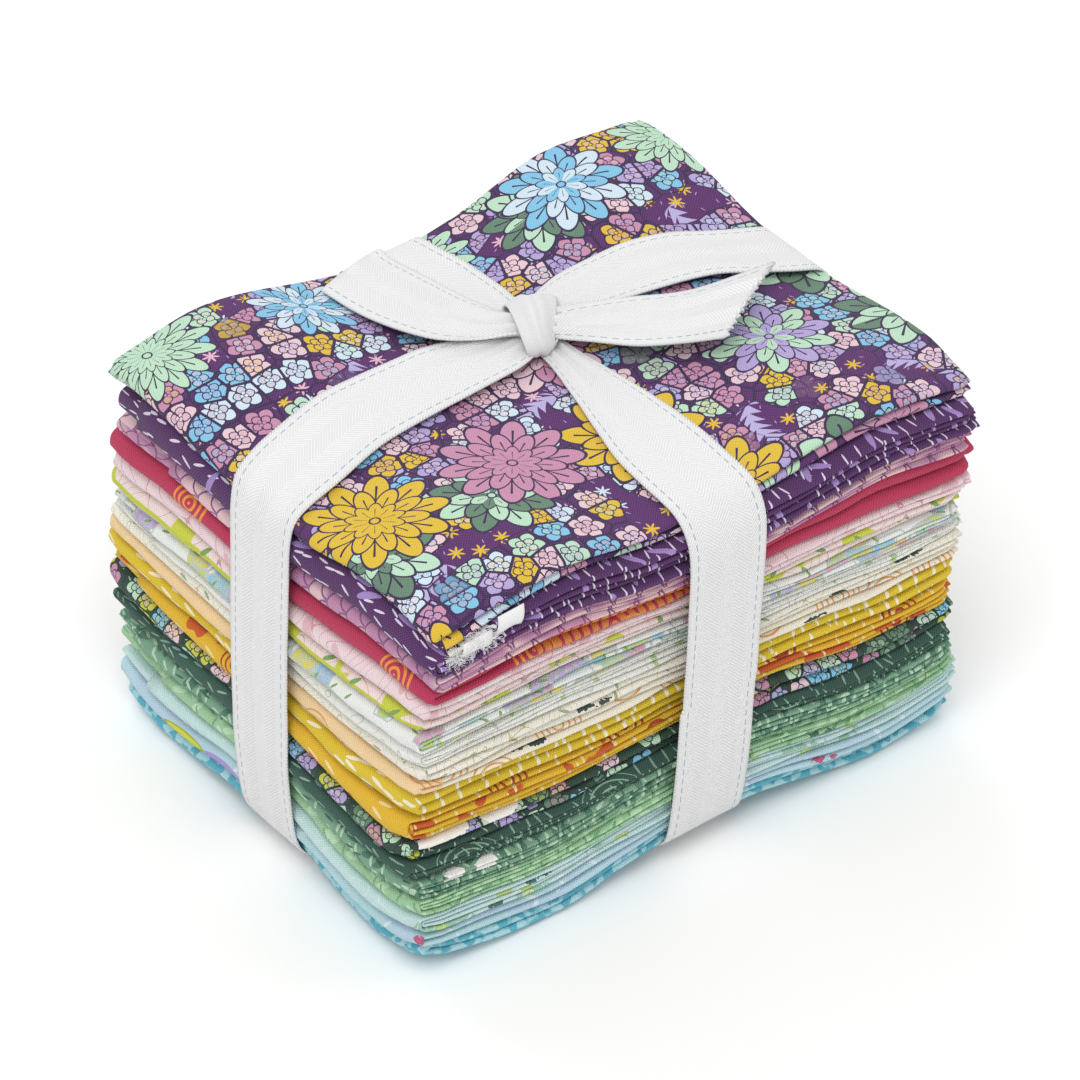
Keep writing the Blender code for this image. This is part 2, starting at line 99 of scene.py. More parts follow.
# How far the line under some pieces lies above its even place: along the left face from the back to the
# near corner, and on along the front.
Line = namedtuple("Line", "under left_back left left_front corner front front_right")
LINES = (
    Line(1, 0.0, 0.0, 0.0, 0.0, 0.0, 0.0),
    Line(2, -6.4, -4.4, -2.2, -0.6, -3.6, -2.4),
    Line(3, -6.2, -4.3, -3.0, -0.3, -1.9, -1.8),
    Line(4, -6.5, -4.0, -3.3, 0.0, -2.1, -5.6),
    Line(5, -6.8, -4.0, -3.2, 0.2, -0.4, -3.8),
    Line(6, -7.0, -4.0, -3.0, 1.4, 1.3, -3.4),
    Line(7, -5.0, -2.6, -2.0, 1.6, 0.6, -2.6),
    Line(8, -2.6, -1.2, -1.0, 2.0, 0.3, -1.4),
    Line(9, -0.4, 0.0, 0.0, 2.8, 0.2, 0.6),
    Line(10, 0.0, 0.0, 0.0, 4.0, 1.0, 1.2),
    Line(11, 0.0, 0.0, 0.0, 1.6, 0.4, 0.2),
    Line(12, 0.0, 0.0, 0.0, -1.2, -1.4, -1.4),
    Line(13, 0.0, 0.0, 0.0, -1.4, -2.6, -2.4),
    Line(14, 0.0, 0.0, 0.0, -0.6, 0.6, 0.0),
    Line(15, 0.0, 0.0, 0.0, 0.0, 0.0, 0.0),
)
LINES_AT_Y = (52.0, 25.0, -25.0, -58.0)      # the first four columns
LINES_AT_X = (-68.0, -27.0, 50.0)            # the last three

# Heights of the stack's top and underside where these lines cross.
LEFT_TO_RIGHT = (-80.0, -44.0, -11.0, 15.0, 48.0, 80.0)
FRONT_TO_BACK = (-64.0, -36.0, -9.0, 18.0, 42.0, 64.0)
TOP = (
    (96.5, 103.5, 97.2, 97.2, 101.6, 95.5),
    (101.5, 104.9, 98.6, 98.6, 103.0, 97.5),
    (96.6, 100.0, 98.6, 98.6, 98.8, 93.3),
    (96.6, 100.0, 98.6, 98.6, 98.8, 93.3),
    (102.6, 106.0, 95.6, 95.6, 106.0, 100.5),
    (98.5, 104.2, 93.8, 93.8, 104.2, 99.5),
)
UNDERSIDE = (
    (8.5, 0.0, 7.6, 7.6, 0.0, 7.5),
    (0.0, 0.0, 7.6, 7.6, 0.0, 0.0),
    (6.4, 6.4, 7.6, 7.6, 6.0, 6.0),
    (6.4, 6.4, 7.6, 7.6, 6.0, 6.0),
    (0.0, 0.0, 7.6, 7.6, 0.0, 0.0),
    (5.5, 0.0, 7.6, 7.6, 0.0, 5.5),
)

# Where the edges of the tape run: how far along and how high a place is, and where the two edges lie there.
Edges = namedtuple("Edges", "along height near far")
LEFT_TO_RIGHT_BAND = (
    Edges(-76.0, 2.0, -12.0, 8.0),
    Edges(-77.0, 94.0, -9.4, 11.9),
    Edges(-62.0, 100.0, -6.5, 17.0),
    Edges(-40.0, 100.0, -1.5, 21.0),
    Edges(-20.0, 100.0, 0.0, 20.5),
    Edges(-5.0, 100.0, 0.5, 16.5),
    Edges(6.0, 100.0, 4.0, 14.5),
    Edges(15.0, 100.0, 9.0, 20.0),
    Edges(27.0, 100.0, 7.5, 23.5),
    Edges(41.0, 100.0, 5.0, 24.0),
    Edges(54.0, 100.0, 2.0, 21.5),
    Edges(67.0, 100.0, -2.5, 17.5),
    Edges(77.0, 96.0, -6.0, 14.5),
    Edges(77.0, 2.0, -9.0, 12.0),
)
FRONT_TO_BACK_BAND = (
    Edges(-62.0, 5.0, -11.7, 9.8),
    Edges(-62.0, 80.0, -8.2, 13.0),
    Edges(-56.0, 100.0, -8.0, 14.0),
    Edges(-40.0, 100.0, -6.8, 15.0),
    Edges(-26.0, 100.0, -3.5, 14.5),
    Edges(-12.0, 100.0, 0.5, 12.8),
    Edges(4.0, 100.0, 3.5, 11.0),
    Edges(14.0, 100.0, 1.5, 11.5),
    Edges(22.0, 100.0, -4.0, 12.6),
    Edges(32.0, 100.0, -6.5, 13.8),
    Edges(45.0, 100.0, -7.5, 14.0),
    Edges(58.0, 100.0, -8.5, 12.6),
    Edges(64.0, 80.0, -9.0, 12.2),
    Edges(64.0, 5.0, -10.8, 10.6),
)

# The two free ends of the tape: a row for each line across the tape, its left and its right edge.
Across = namedtuple("Across", "left_x left_y left_z right_x right_y right_z")
RIGHT_END = (
    Across(7.0, 10.5, 102.6, 6.6, 6.5, 102.6),
    Across(12.0, 11.2, 103.2, 8.8, 2.5, 103.2),
    Across(19.0, 9.0, 103.2, 13.0, -2.5, 103.2),
    Across(30.0, 4.2, 103.0, 19.5, -11.5, 103.8),
    Across(43.0, -2.6, 103.2, 27.0, -18.0, 104.8),
    Across(65.0, -5.0, 102.4, 35.0, -23.5, 105.8),
)
BACK_END = (
    Across(5.0, 6.5, 102.8, 8.0, 11.0, 102.8),
    Across(0.0, 9.0, 103.4, 6.5, 15.0, 103.2),
    Across(-7.5, 13.0, 103.2, 4.0, 20.0, 102.9),
    Across(-15.0, 21.0, 102.9, 1.5, 28.0, 102.4),
    Across(-18.4, 37.6, 100.0, 2.5, 43.0, 98.6),
    Across(-19.0, 52.4, 98.3, 1.6, 55.6, 97.0),
    Across(-17.9, 55.2, 97.7, 2.6, 60.6, 96.2),
    Across(-12.5, 57.6, 97.0, 3.2, 63.9, 93.4),
    Across(-5.5, 60.8, 95.6, 3.6, 65.2, 88.0),
)

# ---------------------------------------------------------------- lines and points

def points_of(*parts):
    """Points from their parts, such as x, y and z, each repeated where another one has more."""
    return np.stack(np.broadcast_arrays(*parts), -1)


def distances(line):
    """How far along a line each of its points lies."""
    return np.concatenate([[0.0], np.cumsum(np.linalg.norm(np.diff(line, axis=0), axis=1))])


def soft_step(value, low, high):
    t = np.clip((value - low) / (high - low), 0.0, 1.0)
    return t * t * (3.0 - 2.0 * t)


def curve_through(lines, heights, where):
    """A soft curve through set heights, with no swell beyond them."""
    lines = np.array(lines)
    heights = np.array([height + 0.0 * where for height in heights])
    steps = np.diff(lines)
    slopes = [(heights[k + 1] - heights[k]) / steps[k] for k in range(len(steps))]
    lean = [slopes[0]]
    for before, after in zip(slopes, slopes[1:]):
        same = before * after > 0
        total = np.where(same, before + after, 1.0)
        lean.append(np.where(same, 2.0 * before * after / total, 0.0))
    lean = np.array(lean + [slopes[-1]])
    cell = np.clip(np.searchsorted(lines, where) - 1, 0, len(steps) - 1)
    t = np.clip((where - lines[cell]) / steps[cell], 0.0, 1.0)
    pick = cell[None, ...]
    first, last = (np.take_along_axis(heights, pick + k, 0)[0] for k in (0, 1))
    lean_first, lean_last = (np.take_along_axis(lean, pick + k, 0)[0] * steps[cell] for k in (0, 1))
    return ((1 + 2 * t) * (1 - t) ** 2 * first + t * (1 - t) ** 2 * lean_first
            + t * t * (3 - 2 * t) * last + t * t * (t - 1) * lean_last)


def ripple(seed, lengths):
    """A soft uneven wave over one or two directions, about one high."""
    chance = np.random.default_rng(seed)
    waves = [(length, chance.uniform(0, math.tau), chance.uniform(0, math.tau)) for length in lengths]

    def height(x, y=0.0):
        total = 0.0
        for number, (length, way, start) in enumerate(waves):
            k = math.tau / length
            total = total + np.sin(k * (x * math.cos(way) + y * math.sin(way)) + start) / (1 + 0.6 * number)
        return total / 1.6
    return height


def spline(points, per_run):
    """A smooth line through rows of points."""
    points = np.array(points, float)
    padded = np.concatenate([2 * points[:1] - points[1:2], points, 2 * points[-1:] - points[-2:-1]])
    out = []
    for k in range(1, len(padded) - 2):
        p0, p1, p2, p3 = padded[k - 1:k + 3]
        for t in np.arange(per_run) / per_run:
            out.append(0.5 * (2 * p1 + (p2 - p0) * t + (2 * p0 - 5 * p1 + 4 * p2 - p3) * t * t
                              + (3 * p1 - p0 - 3 * p2 + p3) * t ** 3))
    out.append(padded[-2])
    return np.array(out)


# ---------------------------------------------------------------- folding

Run = namedtuple("Run", "length turn steps")

# What hands leave behind when they fold and stack the pieces, in millimetres or as a share
OFF_MIDDLE = 6.0             # how far off its middle a sheet is folded, at most
FRONT_REACH = 24.0           # how far in from the front and the back the folds lie unevenly
SIDE_REACH = 30.0            # the same from the left and the right
FRONT_WAVES, FRONT_WAVE, BACK_WAVE = (61, 33, 19), 0.6, 0.7      # lengths and heights of soft waves
LEFT_WAVES, LEFT_WAVE = (70, 41, 17), 0.5
LINE_WAVES, LINE_WAVE = (75, 44, 23), 0.55
LINE_REACH_X, LINE_REACH_Y = 18.0, 16.0      # how far in LINES, above, shift the lines between the pieces
SET_BACK = (-0.1, 0.9)       # how far back the folds at the front lie
PINCH = (0.32, 0.56)         # what share of its height a fold loses at its very edge
PINCH_REACH = 3.4
LEFT_PINCH, LEFT_PINCH_REACH = 0.18, 4.0
TOGETHER = (3.0, 20.0)       # how far from the front the layers of a fold end together, and no longer do
LIP = 0.75                   # what share of its height is rounded where they do
CORNER_POWER = 2.6           # a round corner, a little fuller than a quarter of a circle


def follow(runs, start, along, aside):
    """Places on a line of straight runs and round turns, each at a distance to its left."""
    a, b, heading = start
    out_a = np.zeros_like(along)
    out_b = np.zeros_like(along)
    done = 0.0

    def reached(run, t):
        if not run.turn:
            return a + t * math.cos(heading), b + t * math.sin(heading), heading + 0.0 * t
        bend = run.turn / run.length
        way = heading + bend * t
        return a + (np.sin(way) - math.sin(heading)) / bend, b - (np.cos(way) - math.cos(heading)) / bend, way

    for number, run in enumerate(runs):
        here = along >= done - 1e-6 if number else along > -1e9
        x, y, way = reached(run, along - done)
        out_a = np.where(here, x - aside * np.sin(way), out_a)
        out_b = np.where(here, y + aside * np.cos(way), out_b)
        a, b, heading = reached(run, run.length)
        done += run.length
    return out_a, out_b


def stations(runs):
    """Distances along the runs, at the ends of their steps."""
    places = [0.0]
    for run in runs:
        places += [places[-1] + run.length * step / run.steps for step in range(1, run.steps + 1)]
    return np.array(places)


def level_between(table, x, y):
    """Height in a table, straight between its lines and on past its edges."""
    table = np.array(table)
    column, row = (np.clip(np.searchsorted(lines, where) - 1, 0, 4)
                   for lines, where in ((LEFT_TO_RIGHT, x), (FRONT_TO_BACK, y)))
    across, deep = np.array(LEFT_TO_RIGHT), np.array(FRONT_TO_BACK)
    s = (x - across[column]) / (across[column + 1] - across[column])
    t = (y - deep[row]) / (deep[row + 1] - deep[row])
    return ((1 - t) * ((1 - s) * table[row, column] + s * table[row, column + 1])
            + t * ((1 - s) * table[row + 1, column] + s * table[row + 1, column + 1]))


def height_at(table, x, y):
    """The same with its bends softened, as cloth softens them."""
    reach = ((-13.0, 0.12), (-6.5, 0.24), (0.0, 0.28), (6.5, 0.24), (13.0, 0.12))
    return sum(wx * wy * level_between(table, x + dx, y + dy) for dx, wx in reach for dy, wy in reach)


def pressed(x, y, level):
    low = np.maximum(height_at(UNDERSIDE, x, y) - 0.85, 0.0)      # it rests on small flat places
    high = height_at(TOP, x, y)
    return low + (high - low) * level / STACK_HEIGHT


def line_under(number, x, y, to_left, to_front):
    """How far the line under a piece lies above its even place, near the left face and the front."""
    under = [row.under for row in LINES]
    shifts = [np.interp(number, under, [row[k] for row in LINES], left=0.0, right=0.0) for k in range(1, 7)]
    left = np.interp(-y, [-place for place in LINES_AT_Y], shifts[:4])
    front = np.interp(x, LINES_AT_X, shifts[3:])
    return (to_left * left + to_front * front) / np.maximum(to_left + to_front, 1.0)


def fold_lines(piece, uneven, fine):
    """The lines that one sheet follows, each with its runs and its start: both ends to the middle, in four
    across, and shut like a book. The last value is half the width of the sheet in between."""
    width, depth = FOLDED_WIDTH + piece.wider, FOLDED_DEPTH + piece.deeper
    round_out = PIECE_HEIGHT / 2
    half = width - round_out + math.pi * round_out / 2
    zone = math.pi * round_out
    gate = math.pi * LAYER / 2
    flap = (CLOTH_WIDTH - 2 * half - 2 * gate) / 2
    side = half - zone / 2

    def steps(length, size):
        return max(1, round(length * fine / size))

    near_end = (Run(4.0, 0.0, 3), Run(1.6, 0.0, 3))       # finer towards the folded ends
    end_length = sum(run.length for run in near_end)
    flap_run = Run(flap - end_length, 0.0, steps(flap, 5.4))
    side_run = Run(side - end_length, 0.0, steps(side, 4.6))
    turn_over = Run(gate, math.pi, 4)
    ends = (flap_run, *near_end, turn_over, *near_end[::-1], side_run, Run(zone, 0.0, 10),
            side_run, *near_end, turn_over, *near_end[::-1], flap_run)
    outer, inner = math.pi * 1.5 * PAIR, math.pi * 0.5 * PAIR
    first = depth - round_out / 2 - PAIR / 2
    if piece.front == "folds":
        # halved twice: the outer layers go round the inner ones at the front
        second = (CLOTH_LENGTH - 2 * first - outer - 2 * inner) / 2
        front = -depth / 2 + round_out / 2
        across = (Run(second + uneven, 0.0, steps(second, 5.5)), Run(outer, math.pi, 8),
                  Run(first, 0.0, steps(first, 5.0)), Run(inner, math.pi, 4),
                  Run(first, 0.0, steps(first, 9.0)), Run(inner, -math.pi, 4),
                  Run(second - uneven, 0.0, steps(second, 9.0)))
    else:
        # to and fro: each layer turns back on the next
        second = (CLOTH_LENGTH - 2 * first - 3 * inner) / 2
        front = -depth / 2 + PAIR / 2
        across = (Run(second + uneven, 0.0, steps(second, 5.5)), Run(inner, math.pi, 6),
                  Run(first, 0.0, steps(first, 7.0)), Run(inner, -math.pi, 4),
                  Run(first, 0.0, steps(first, 7.0)), Run(inner, math.pi, 6),
                  Run(second - uneven, 0.0, steps(second, 5.5)))
    book = (Run(side, 0.0, 1), Run(zone, -math.pi, 1), Run(side, 0.0, 1))
    return ((ends, (-half + flap, LAYER / 2, math.pi)),
            (across, (front + second + uneven, 3.5 * PAIR, math.pi)),
            (book, (width / 2, 0.0, math.pi)), half)


def handled(number, piece, x, y, band, which):
    """The same places as hands leave them, with edges that don't lie quite on one another. band is the height
    in the piece, from 0 to 1, and which is the pair of layers, from the underside up."""
    edge_x, edge_y = (FOLDED_WIDTH + piece.wider) / 2, (FOLDED_DEPTH + piece.deeper) / 2
    nearest_front = 1.0 - soft_step(y, -edge_y, -edge_y + FRONT_REACH)
    nearest_back = soft_step(y, edge_y - FRONT_REACH, edge_y)
    nearest_left = 1.0 - soft_step(x, -edge_x, -edge_x + SIDE_REACH)
    nearest_right = soft_step(x, edge_x - SIDE_REACH, edge_x)
    count = 2 if piece.front == "folds" else 4
    fold = which * count // 8
    wave = np.choose(fold, [ripple(100 + 10 * number + k, FRONT_WAVES)(x, 30 * number) for k in range(count)])
    chance = np.random.default_rng(900 + number)
    set_back = chance.uniform(*SET_BACK, 4)[fold]
    y = y + (set_back - FRONT_WAVE * wave) * nearest_front + BACK_WAVE * wave * nearest_back
    # each fold is pinched at its edge, so that a dark line shows between it and the next
    pinch = chance.uniform(*PINCH, 4)[fold]
    middle = (fold + 0.5) / count
    band = middle + (band - middle) * (1 - pinch * (1 - soft_step(y, -edge_y, -edge_y + PINCH_REACH)))
    band = 0.5 + (band - 0.5) * (1 - LEFT_PINCH * (1 - soft_step(x, -edge_x, -edge_x + LEFT_PINCH_REACH)))
    x = x + LEFT_WAVE * ripple(400 + number, LEFT_WAVES)(y, 30 * number) * nearest_left
    # at the right the layers fan out, but at the front those of one fold end together, in a round lip
    shifts = chance.uniform(-1.0, 1.0, 8)
    together = 1.0 - soft_step(y, -edge_y + TOGETHER[0], -edge_y + TOGETHER[1])
    ends = shifts[which] + together * (shifts.reshape(count, -1).mean(1)[fold] - shifts[which])
    ends = ends + 0.1
    x = x + piece.fan * nearest_right * ends
    reach = LIP * PIECE_HEIGHT / count
    lip = np.clip((x - edge_x - piece.fan * ends + reach) / reach, 0.0, 1.0)
    band = middle + (band - middle) * (1 - LIP * together * (1 - np.sqrt(1 - lip ** 2)))
    return x, y, band


def round_corners(number, piece, x, y):
    """The same places with the four corners of the piece rounded, each a little differently."""
    edge_x, edge_y = (FOLDED_WIDTH + piece.wider) / 2, (FOLDED_DEPTH + piece.deeper) / 2
    corner = ripple(800 + number, (5, 3))
    for side_x, side_y, size in ((-1, -1, 4.0 + 0.24 * number), (1, -1, 5.4), (-1, 1, 3.0), (1, 1, 4.0)):
        size = size * (1 + 0.25 * corner(3.0 * side_x + number, 5.0 * side_y))
        a = np.clip(1 - (edge_x - side_x * x) / size, 0, None)
        b = np.clip(1 - (edge_y - side_y * y) / size, 0, None)
        both = (a > 0) & (b > 0)
        reach = (a ** CORNER_POWER + b ** CORNER_POWER) ** (1 / CORNER_POWER)
        shrink = np.where(both, np.maximum(a, b) / np.maximum(reach, 1e-6), 1.0)
        x = x - side_x * size * a * (1 - shrink) * both
        y = y - side_y * size * b * (1 - shrink) * both
    return x, y


def put_in_stack(number, piece, x, y, band):
    """Places in the stack, pressed along the tape, between the lines under and over the piece."""
    edge_x, edge_y = (FOLDED_WIDTH + piece.wider) / 2, (FOLDED_DEPTH + piece.deeper) / 2
    turn = math.radians(piece.turn)
    stack_x = piece.right + x * math.cos(turn) - y * math.sin(turn)
    stack_y = piece.back + x * math.sin(turn) + y * math.cos(turn)
    start = (len(PIECES) - number) * (PIECE_HEIGHT + PIECE_GAP)
    wave_under, wave_over = (
        0.0 * stack_x if line in (0, len(PIECES)) else
        LINE_WAVE * ripple(700 + line, LINE_WAVES)(stack_x, stack_y) for line in (number, number - 1))
    level = start + band * PIECE_HEIGHT + wave_under + (wave_over - wave_under) * band
    to_left = 1.0 - soft_step(x, -edge_x, -edge_x + LINE_REACH_X)
    to_front = 1.0 - soft_step(y, -edge_y, -edge_y + LINE_REACH_Y)
    under, over = (line_under(line, stack_x, stack_y, to_left, to_front) for line in (number, number - 1))
    level += under + (over - under) * band
    return points_of(stack_x, stack_y, pressed(stack_x, stack_y, level))


def bare_parts(number, piece, x, from_front, height, upper):
    """How bare the woven edge is: in set ranges from the left end, at the very front of the upper half."""
    from_left = x + (FOLDED_WIDTH + piece.wider) / 2
    torn = 0.95 + 0.5 * ripple(600 + number, (9, 5))(x, 2.0 * height)
    at_front = (1 - soft_step(from_front, 1.0, 2.5)) * upper
    bare = np.zeros_like(x)
    fade = 0.6
    for start, end in piece.bare:
        begun = soft_step(from_left, start - fade, start + fade)
        ended = soft_step(from_left, end - fade, end + fade)
        bare += begun * (1 - ended) * torn * at_front
    return bare


def fold_sheet(number, piece):
    """Points of one folded sheet, row by row: places in the stack, places on the flat cloth, bare parts."""
    uneven = OFF_MIDDLE * math.sin(2.4 * number)
    ends, across, book, half = fold_lines(piece, uneven, fine=1.5 if number == 1 else 1.0)
    u, v = np.meshgrid(stations(ends[0]), stations(across[0]), indexing="ij")
    x, layer = follow(*ends, u, 0.0 * u)
    y, up = follow(*across, v, layer)       # y to the back, up from the outer face
    pair = np.clip(np.floor(up / PAIR), 0, 3).astype(int)
    along = x + half
    x, height = follow(*book, along, -up)
    upper = along > half
    from_front = y + (FOLDED_DEPTH + piece.deeper) / 2
    x, y, band = handled(number, piece, x, y, height / PIECE_HEIGHT, np.where(upper, 7 - pair, pair))
    x, y = round_corners(number, piece, x, y)
    bare = bare_parts(number, piece, x, from_front, height, upper)
    return put_in_stack(number, piece, x, y, band), points_of(u, v - uneven), bare


# ---------------------------------------------------------------- meshes

THREAD_RADIUS = 0.045
ALL_BARE = 2.0        # beyond any of the noise that makes the bare edge ragged


def new_thing(name, points, faces, bare):
    """An object made of faces, with a mark of how bare the cloth is at each point where that is given."""
    mesh = bpy.data.meshes.new(name)
    mesh.from_pydata((points * MM).tolist(), [], faces)
    mesh.uv_layers.new(name="cloth")
    if bare is not None:
        mark = mesh.attributes.new("bare", "FLOAT", "POINT")
        mark.data.foreach_set("value", bare.astype(np.float32).ravel())
    thing = bpy.data.objects.new(name, mesh)
    bpy.context.scene.collection.objects.link(thing)
    return thing


def grid_mesh(name, places, flat, bare=None):
    """A sheet as one mesh: a grid of points, with its flat places as its UV map in metres."""
    rows, columns = places.shape[:2]
    index = np.arange(rows * columns).reshape(rows, columns)
    faces = np.stack([index[:-1, :-1], index[1:, :-1], index[1:, 1:], index[:-1, 1:]], -1).reshape(-1, 4)
    thing = new_thing(name, places.reshape(-1, 3), faces.tolist(), bare)
    uv = thing.data.uv_layers["cloth"]
    uv.data.foreach_set("uv", (flat.reshape(-1, 2) * MM)[faces.reshape(-1)].astype(np.float32).ravel())
    thing.data.shade_smooth()
    return thing


def loose_threads(places, bare, count, longest, seed):
    """Fine threads that hang from the bare woven edge, as one mesh of three-sided threads."""
    chance = np.random.default_rng(seed)
    roots = places[bare > 0.75]
    roots = roots[chance.integers(0, len(roots), count)]
    t = np.linspace(0.0, 1.0, 7)[:, None]
    turns = np.arange(3) * math.tau / 3
    section = THREAD_RADIUS * points_of(np.cos(turns), 0.3 * np.sin(turns), np.sin(turns))
    points, faces = [], []
    for root in roots:
        # most hang out to the front and the left, some up and some down
        way = np.array([chance.normal(-0.4, 0.9), chance.normal(-0.5, 0.2), chance.normal(0.25, 0.9)])
        way *= chance.uniform(0.3, 1.0) * longest / np.linalg.norm(way)
        line = root + way * t + longest * (chance.normal(0.0, 0.35, 3) * t * (1 - t) * 2.0
                                           + chance.normal(0.0, 0.15, 3) * t ** 3)
        for k, place in enumerate(line):
            start = len(points)
            points += list(place + section)
            if k:
                faces += [(start - 3 + c, start - 3 + (c + 1) % 3, start + (c + 1) % 3, start + c)
                          for c in range(3)]
    return new_thing("loose threads", np.array(points), faces, np.full(len(points), ALL_BARE))


def bare_corner(left, front, low, wide, tall):
    """A small torn bit of the bare woven edge that hangs over the front."""
    s, t = np.meshgrid(np.linspace(0.0, 1.0, 12), np.linspace(0.0, 1.0, 7), indexing="ij")
    torn = ripple(57, (5, 3))(s * wide, 0.0)
    places = points_of(left + wide * (s + 0.10 * t), front - 0.5 - 0.6 * np.sin(math.pi * t) + 0.3 * s,
                       low + tall * t + 0.5 * torn * (1 - t))
    return grid_mesh("bare corner", places, points_of(s * wide, t * tall), ALL_BARE + 0.0 * s)


def select(things):
    bpy.ops.object.select_all(action="DESELECT")
    for thing in things:
        thing.select_set(True)
    bpy.context.view_layer.objects.active = things[0]


def join(things):
    """Join things into the first of them."""
    select(things)
    bpy.ops.object.join()
    return bpy.context.object


def thicken(thing, thickness, rim_only):
    """Give a sheet its thickness: whole, or only along its rim, where the inside never shows."""
    select([thing])
    solid = thing.modifiers.new("thickness", "SOLIDIFY")
    solid.thickness = thickness * MM
    solid.offset = 0.0
    solid.use_rim_only = rim_only
    solid.use_even_offset = not rim_only
    bpy.ops.object.modifier_apply(modifier=solid.name)


# ---------------------------------------------------------------- the tape

TAPE_PULL = 0.012             # how much each pass straightens the tape
TAPE_STIFFNESS = 0.055        # how much each pass evens out its bends
TAPE_STEP = 1.6               # along a band, from one row of points to the next
BAND_GATHER = 19.0            # how far from the knot a band is gathered
END_GATHER = 15.0


def tight_outline(points):
    """The tight outline round points in a plane, anticlockwise."""
    ordered = sorted(map(tuple, np.unique(np.round(points, 2), axis=0)))

    def half(run):
        chain = []
        for point in run:
            while len(chain) > 1 and ((chain[-1][0] - chain[-2][0]) * (point[1] - chain[-2][1])
                                      - (chain[-1][1] - chain[-2][1]) * (point[0] - chain[-2][0])) <= 0:
                chain.pop()
            chain.append(point)
        return chain[:-1]

    return np.array(half(ordered) + half(reversed(ordered)))


def angle_of(along, height):
    return np.arctan2(height - STACK_HEIGHT / 2, along)


def edges_at(rows, along, height):
    """The two edges of a band at places round the stack."""
    ordered = sorted((float(angle_of(row.along, row.height)), row.near, row.far) for row in rows)
    first, last = ordered[0], ordered[-1]
    ring = [(last[0] - math.tau, *last[1:]), *ordered, (first[0] + math.tau, *first[1:])]
    here = angle_of(along, height)
    angles = [row[0] for row in ring]
    return [curve_through(angles, [row[k] for row in ring], here) for k in (1, 2)]


def stiff_line(line, outline):
    """The line that a stiff tape takes: never inside the outline, and round rather than sharp at corners."""
    closed = np.concatenate([outline, outline[:1]])
    sides = np.diff(closed, axis=0)
    normals = points_of(sides[:, 1], -sides[:, 0]) / np.linalg.norm(sides, axis=1)[:, None]
    for _ in range(1500):
        bend = np.roll(line, 1, 0) + np.roll(line, -1, 0) - 2 * line
        change = np.roll(bend, 1, 0) + np.roll(bend, -1, 0) - 2 * bend
        line = line + TAPE_PULL * bend - TAPE_STIFFNESS * change
        beyond = ((line[:, None] - closed[None, :-1]) * normals[None]).sum(-1)
        line = line - np.minimum(beyond.max(1), 0.0)[:, None] * normals[beyond.argmax(1)]
    return line


def band_rows(cloths, rows, across, knot_at):
    """Points of a band that lies taut round the stack, from the knot round to the knot again."""
    other = 1 - across
    points = []
    for places in cloths:
        flat = places.reshape(-1, 3)
        near, far = edges_at(rows, flat[:, other], flat[:, 2])
        beside = 2.5
        under = (flat[:, across] > near - beside) & (flat[:, across] < far + beside)
        points.append(flat[under][:, [other, 2]])
    outline = tight_outline(np.concatenate(points))
    circle = np.linspace(0, math.tau, 24, endpoint=False)
    clearance = 0.5
    ring = points_of(np.cos(circle), np.sin(circle)) * clearance
    outline = tight_outline((outline[:, None, :] + ring[None]).reshape(-1, 2))
    closed = np.concatenate([outline, outline[:1]])
    lengths = distances(closed)
    count = int(lengths[-1] / TAPE_STEP)
    at = np.linspace(0, lengths[-1], count, endpoint=False)
    line = points_of(*(np.interp(at, lengths, closed[:, k]) for k in (0, 1)))
    line = stiff_line(line, outline)
    for _ in range(2):
        line = (np.roll(line, 1, 0) + 2 * line + np.roll(line, -1, 0)) / 4
    line = np.roll(line, -np.argmin(np.abs(line[:, 0] - knot_at) - line[:, 1]), 0)
    outward = np.roll(line, -1, 0) - np.roll(line, 1, 0)
    outward = points_of(outward[:, 1], -outward[:, 0])
    outward /= np.linalg.norm(outward, axis=1)[:, None]
    line = line + 0.15 * outward
    near, far = edges_at(rows, line[:, 0], line[:, 1])
    return line, outward, near, far, at


def make_band(name, cloths, rows, across, knot_at, lanes=25):
    """A band with soft gathers that grow towards the knot."""
    line, outward, near, far, at = band_rows(cloths, rows, across, knot_at)
    t = np.linspace(0.0, 1.0, lanes)
    near, far = near[:, None], far[:, None]
    side = near + (far - near) * t
    on_top = line[:, 1] > STACK_HEIGHT / 2
    distance = np.where(on_top, np.abs(line[:, 0] - knot_at), 200.0)[:, None]
    gather = np.exp(-(distance / BAND_GATHER) ** 2)
    folds = 0.5 + 0.3 * np.cos(t * math.tau * 2.2 + 0.6) + 0.2 * np.cos(t * math.tau * 4.6 + 2.0)
    slack = 0.12 * ripple(31 + across, (38, 23))(at[:, None], t * 20.0)
    lift = gather * (0.2 + 1.1 * folds) + np.abs(slack)
    along, up = (line[:, None, k] + outward[:, None, k] * lift for k in (0, 1))
    places = points_of(*((side, along) if across == 0 else (along, side)), up)
    places = np.concatenate([places, places[:1]])
    distance_along = np.append(at, at[1] * len(at))
    return grid_mesh(name, places, points_of(distance_along[:, None], t * TAPE_WIDTH))


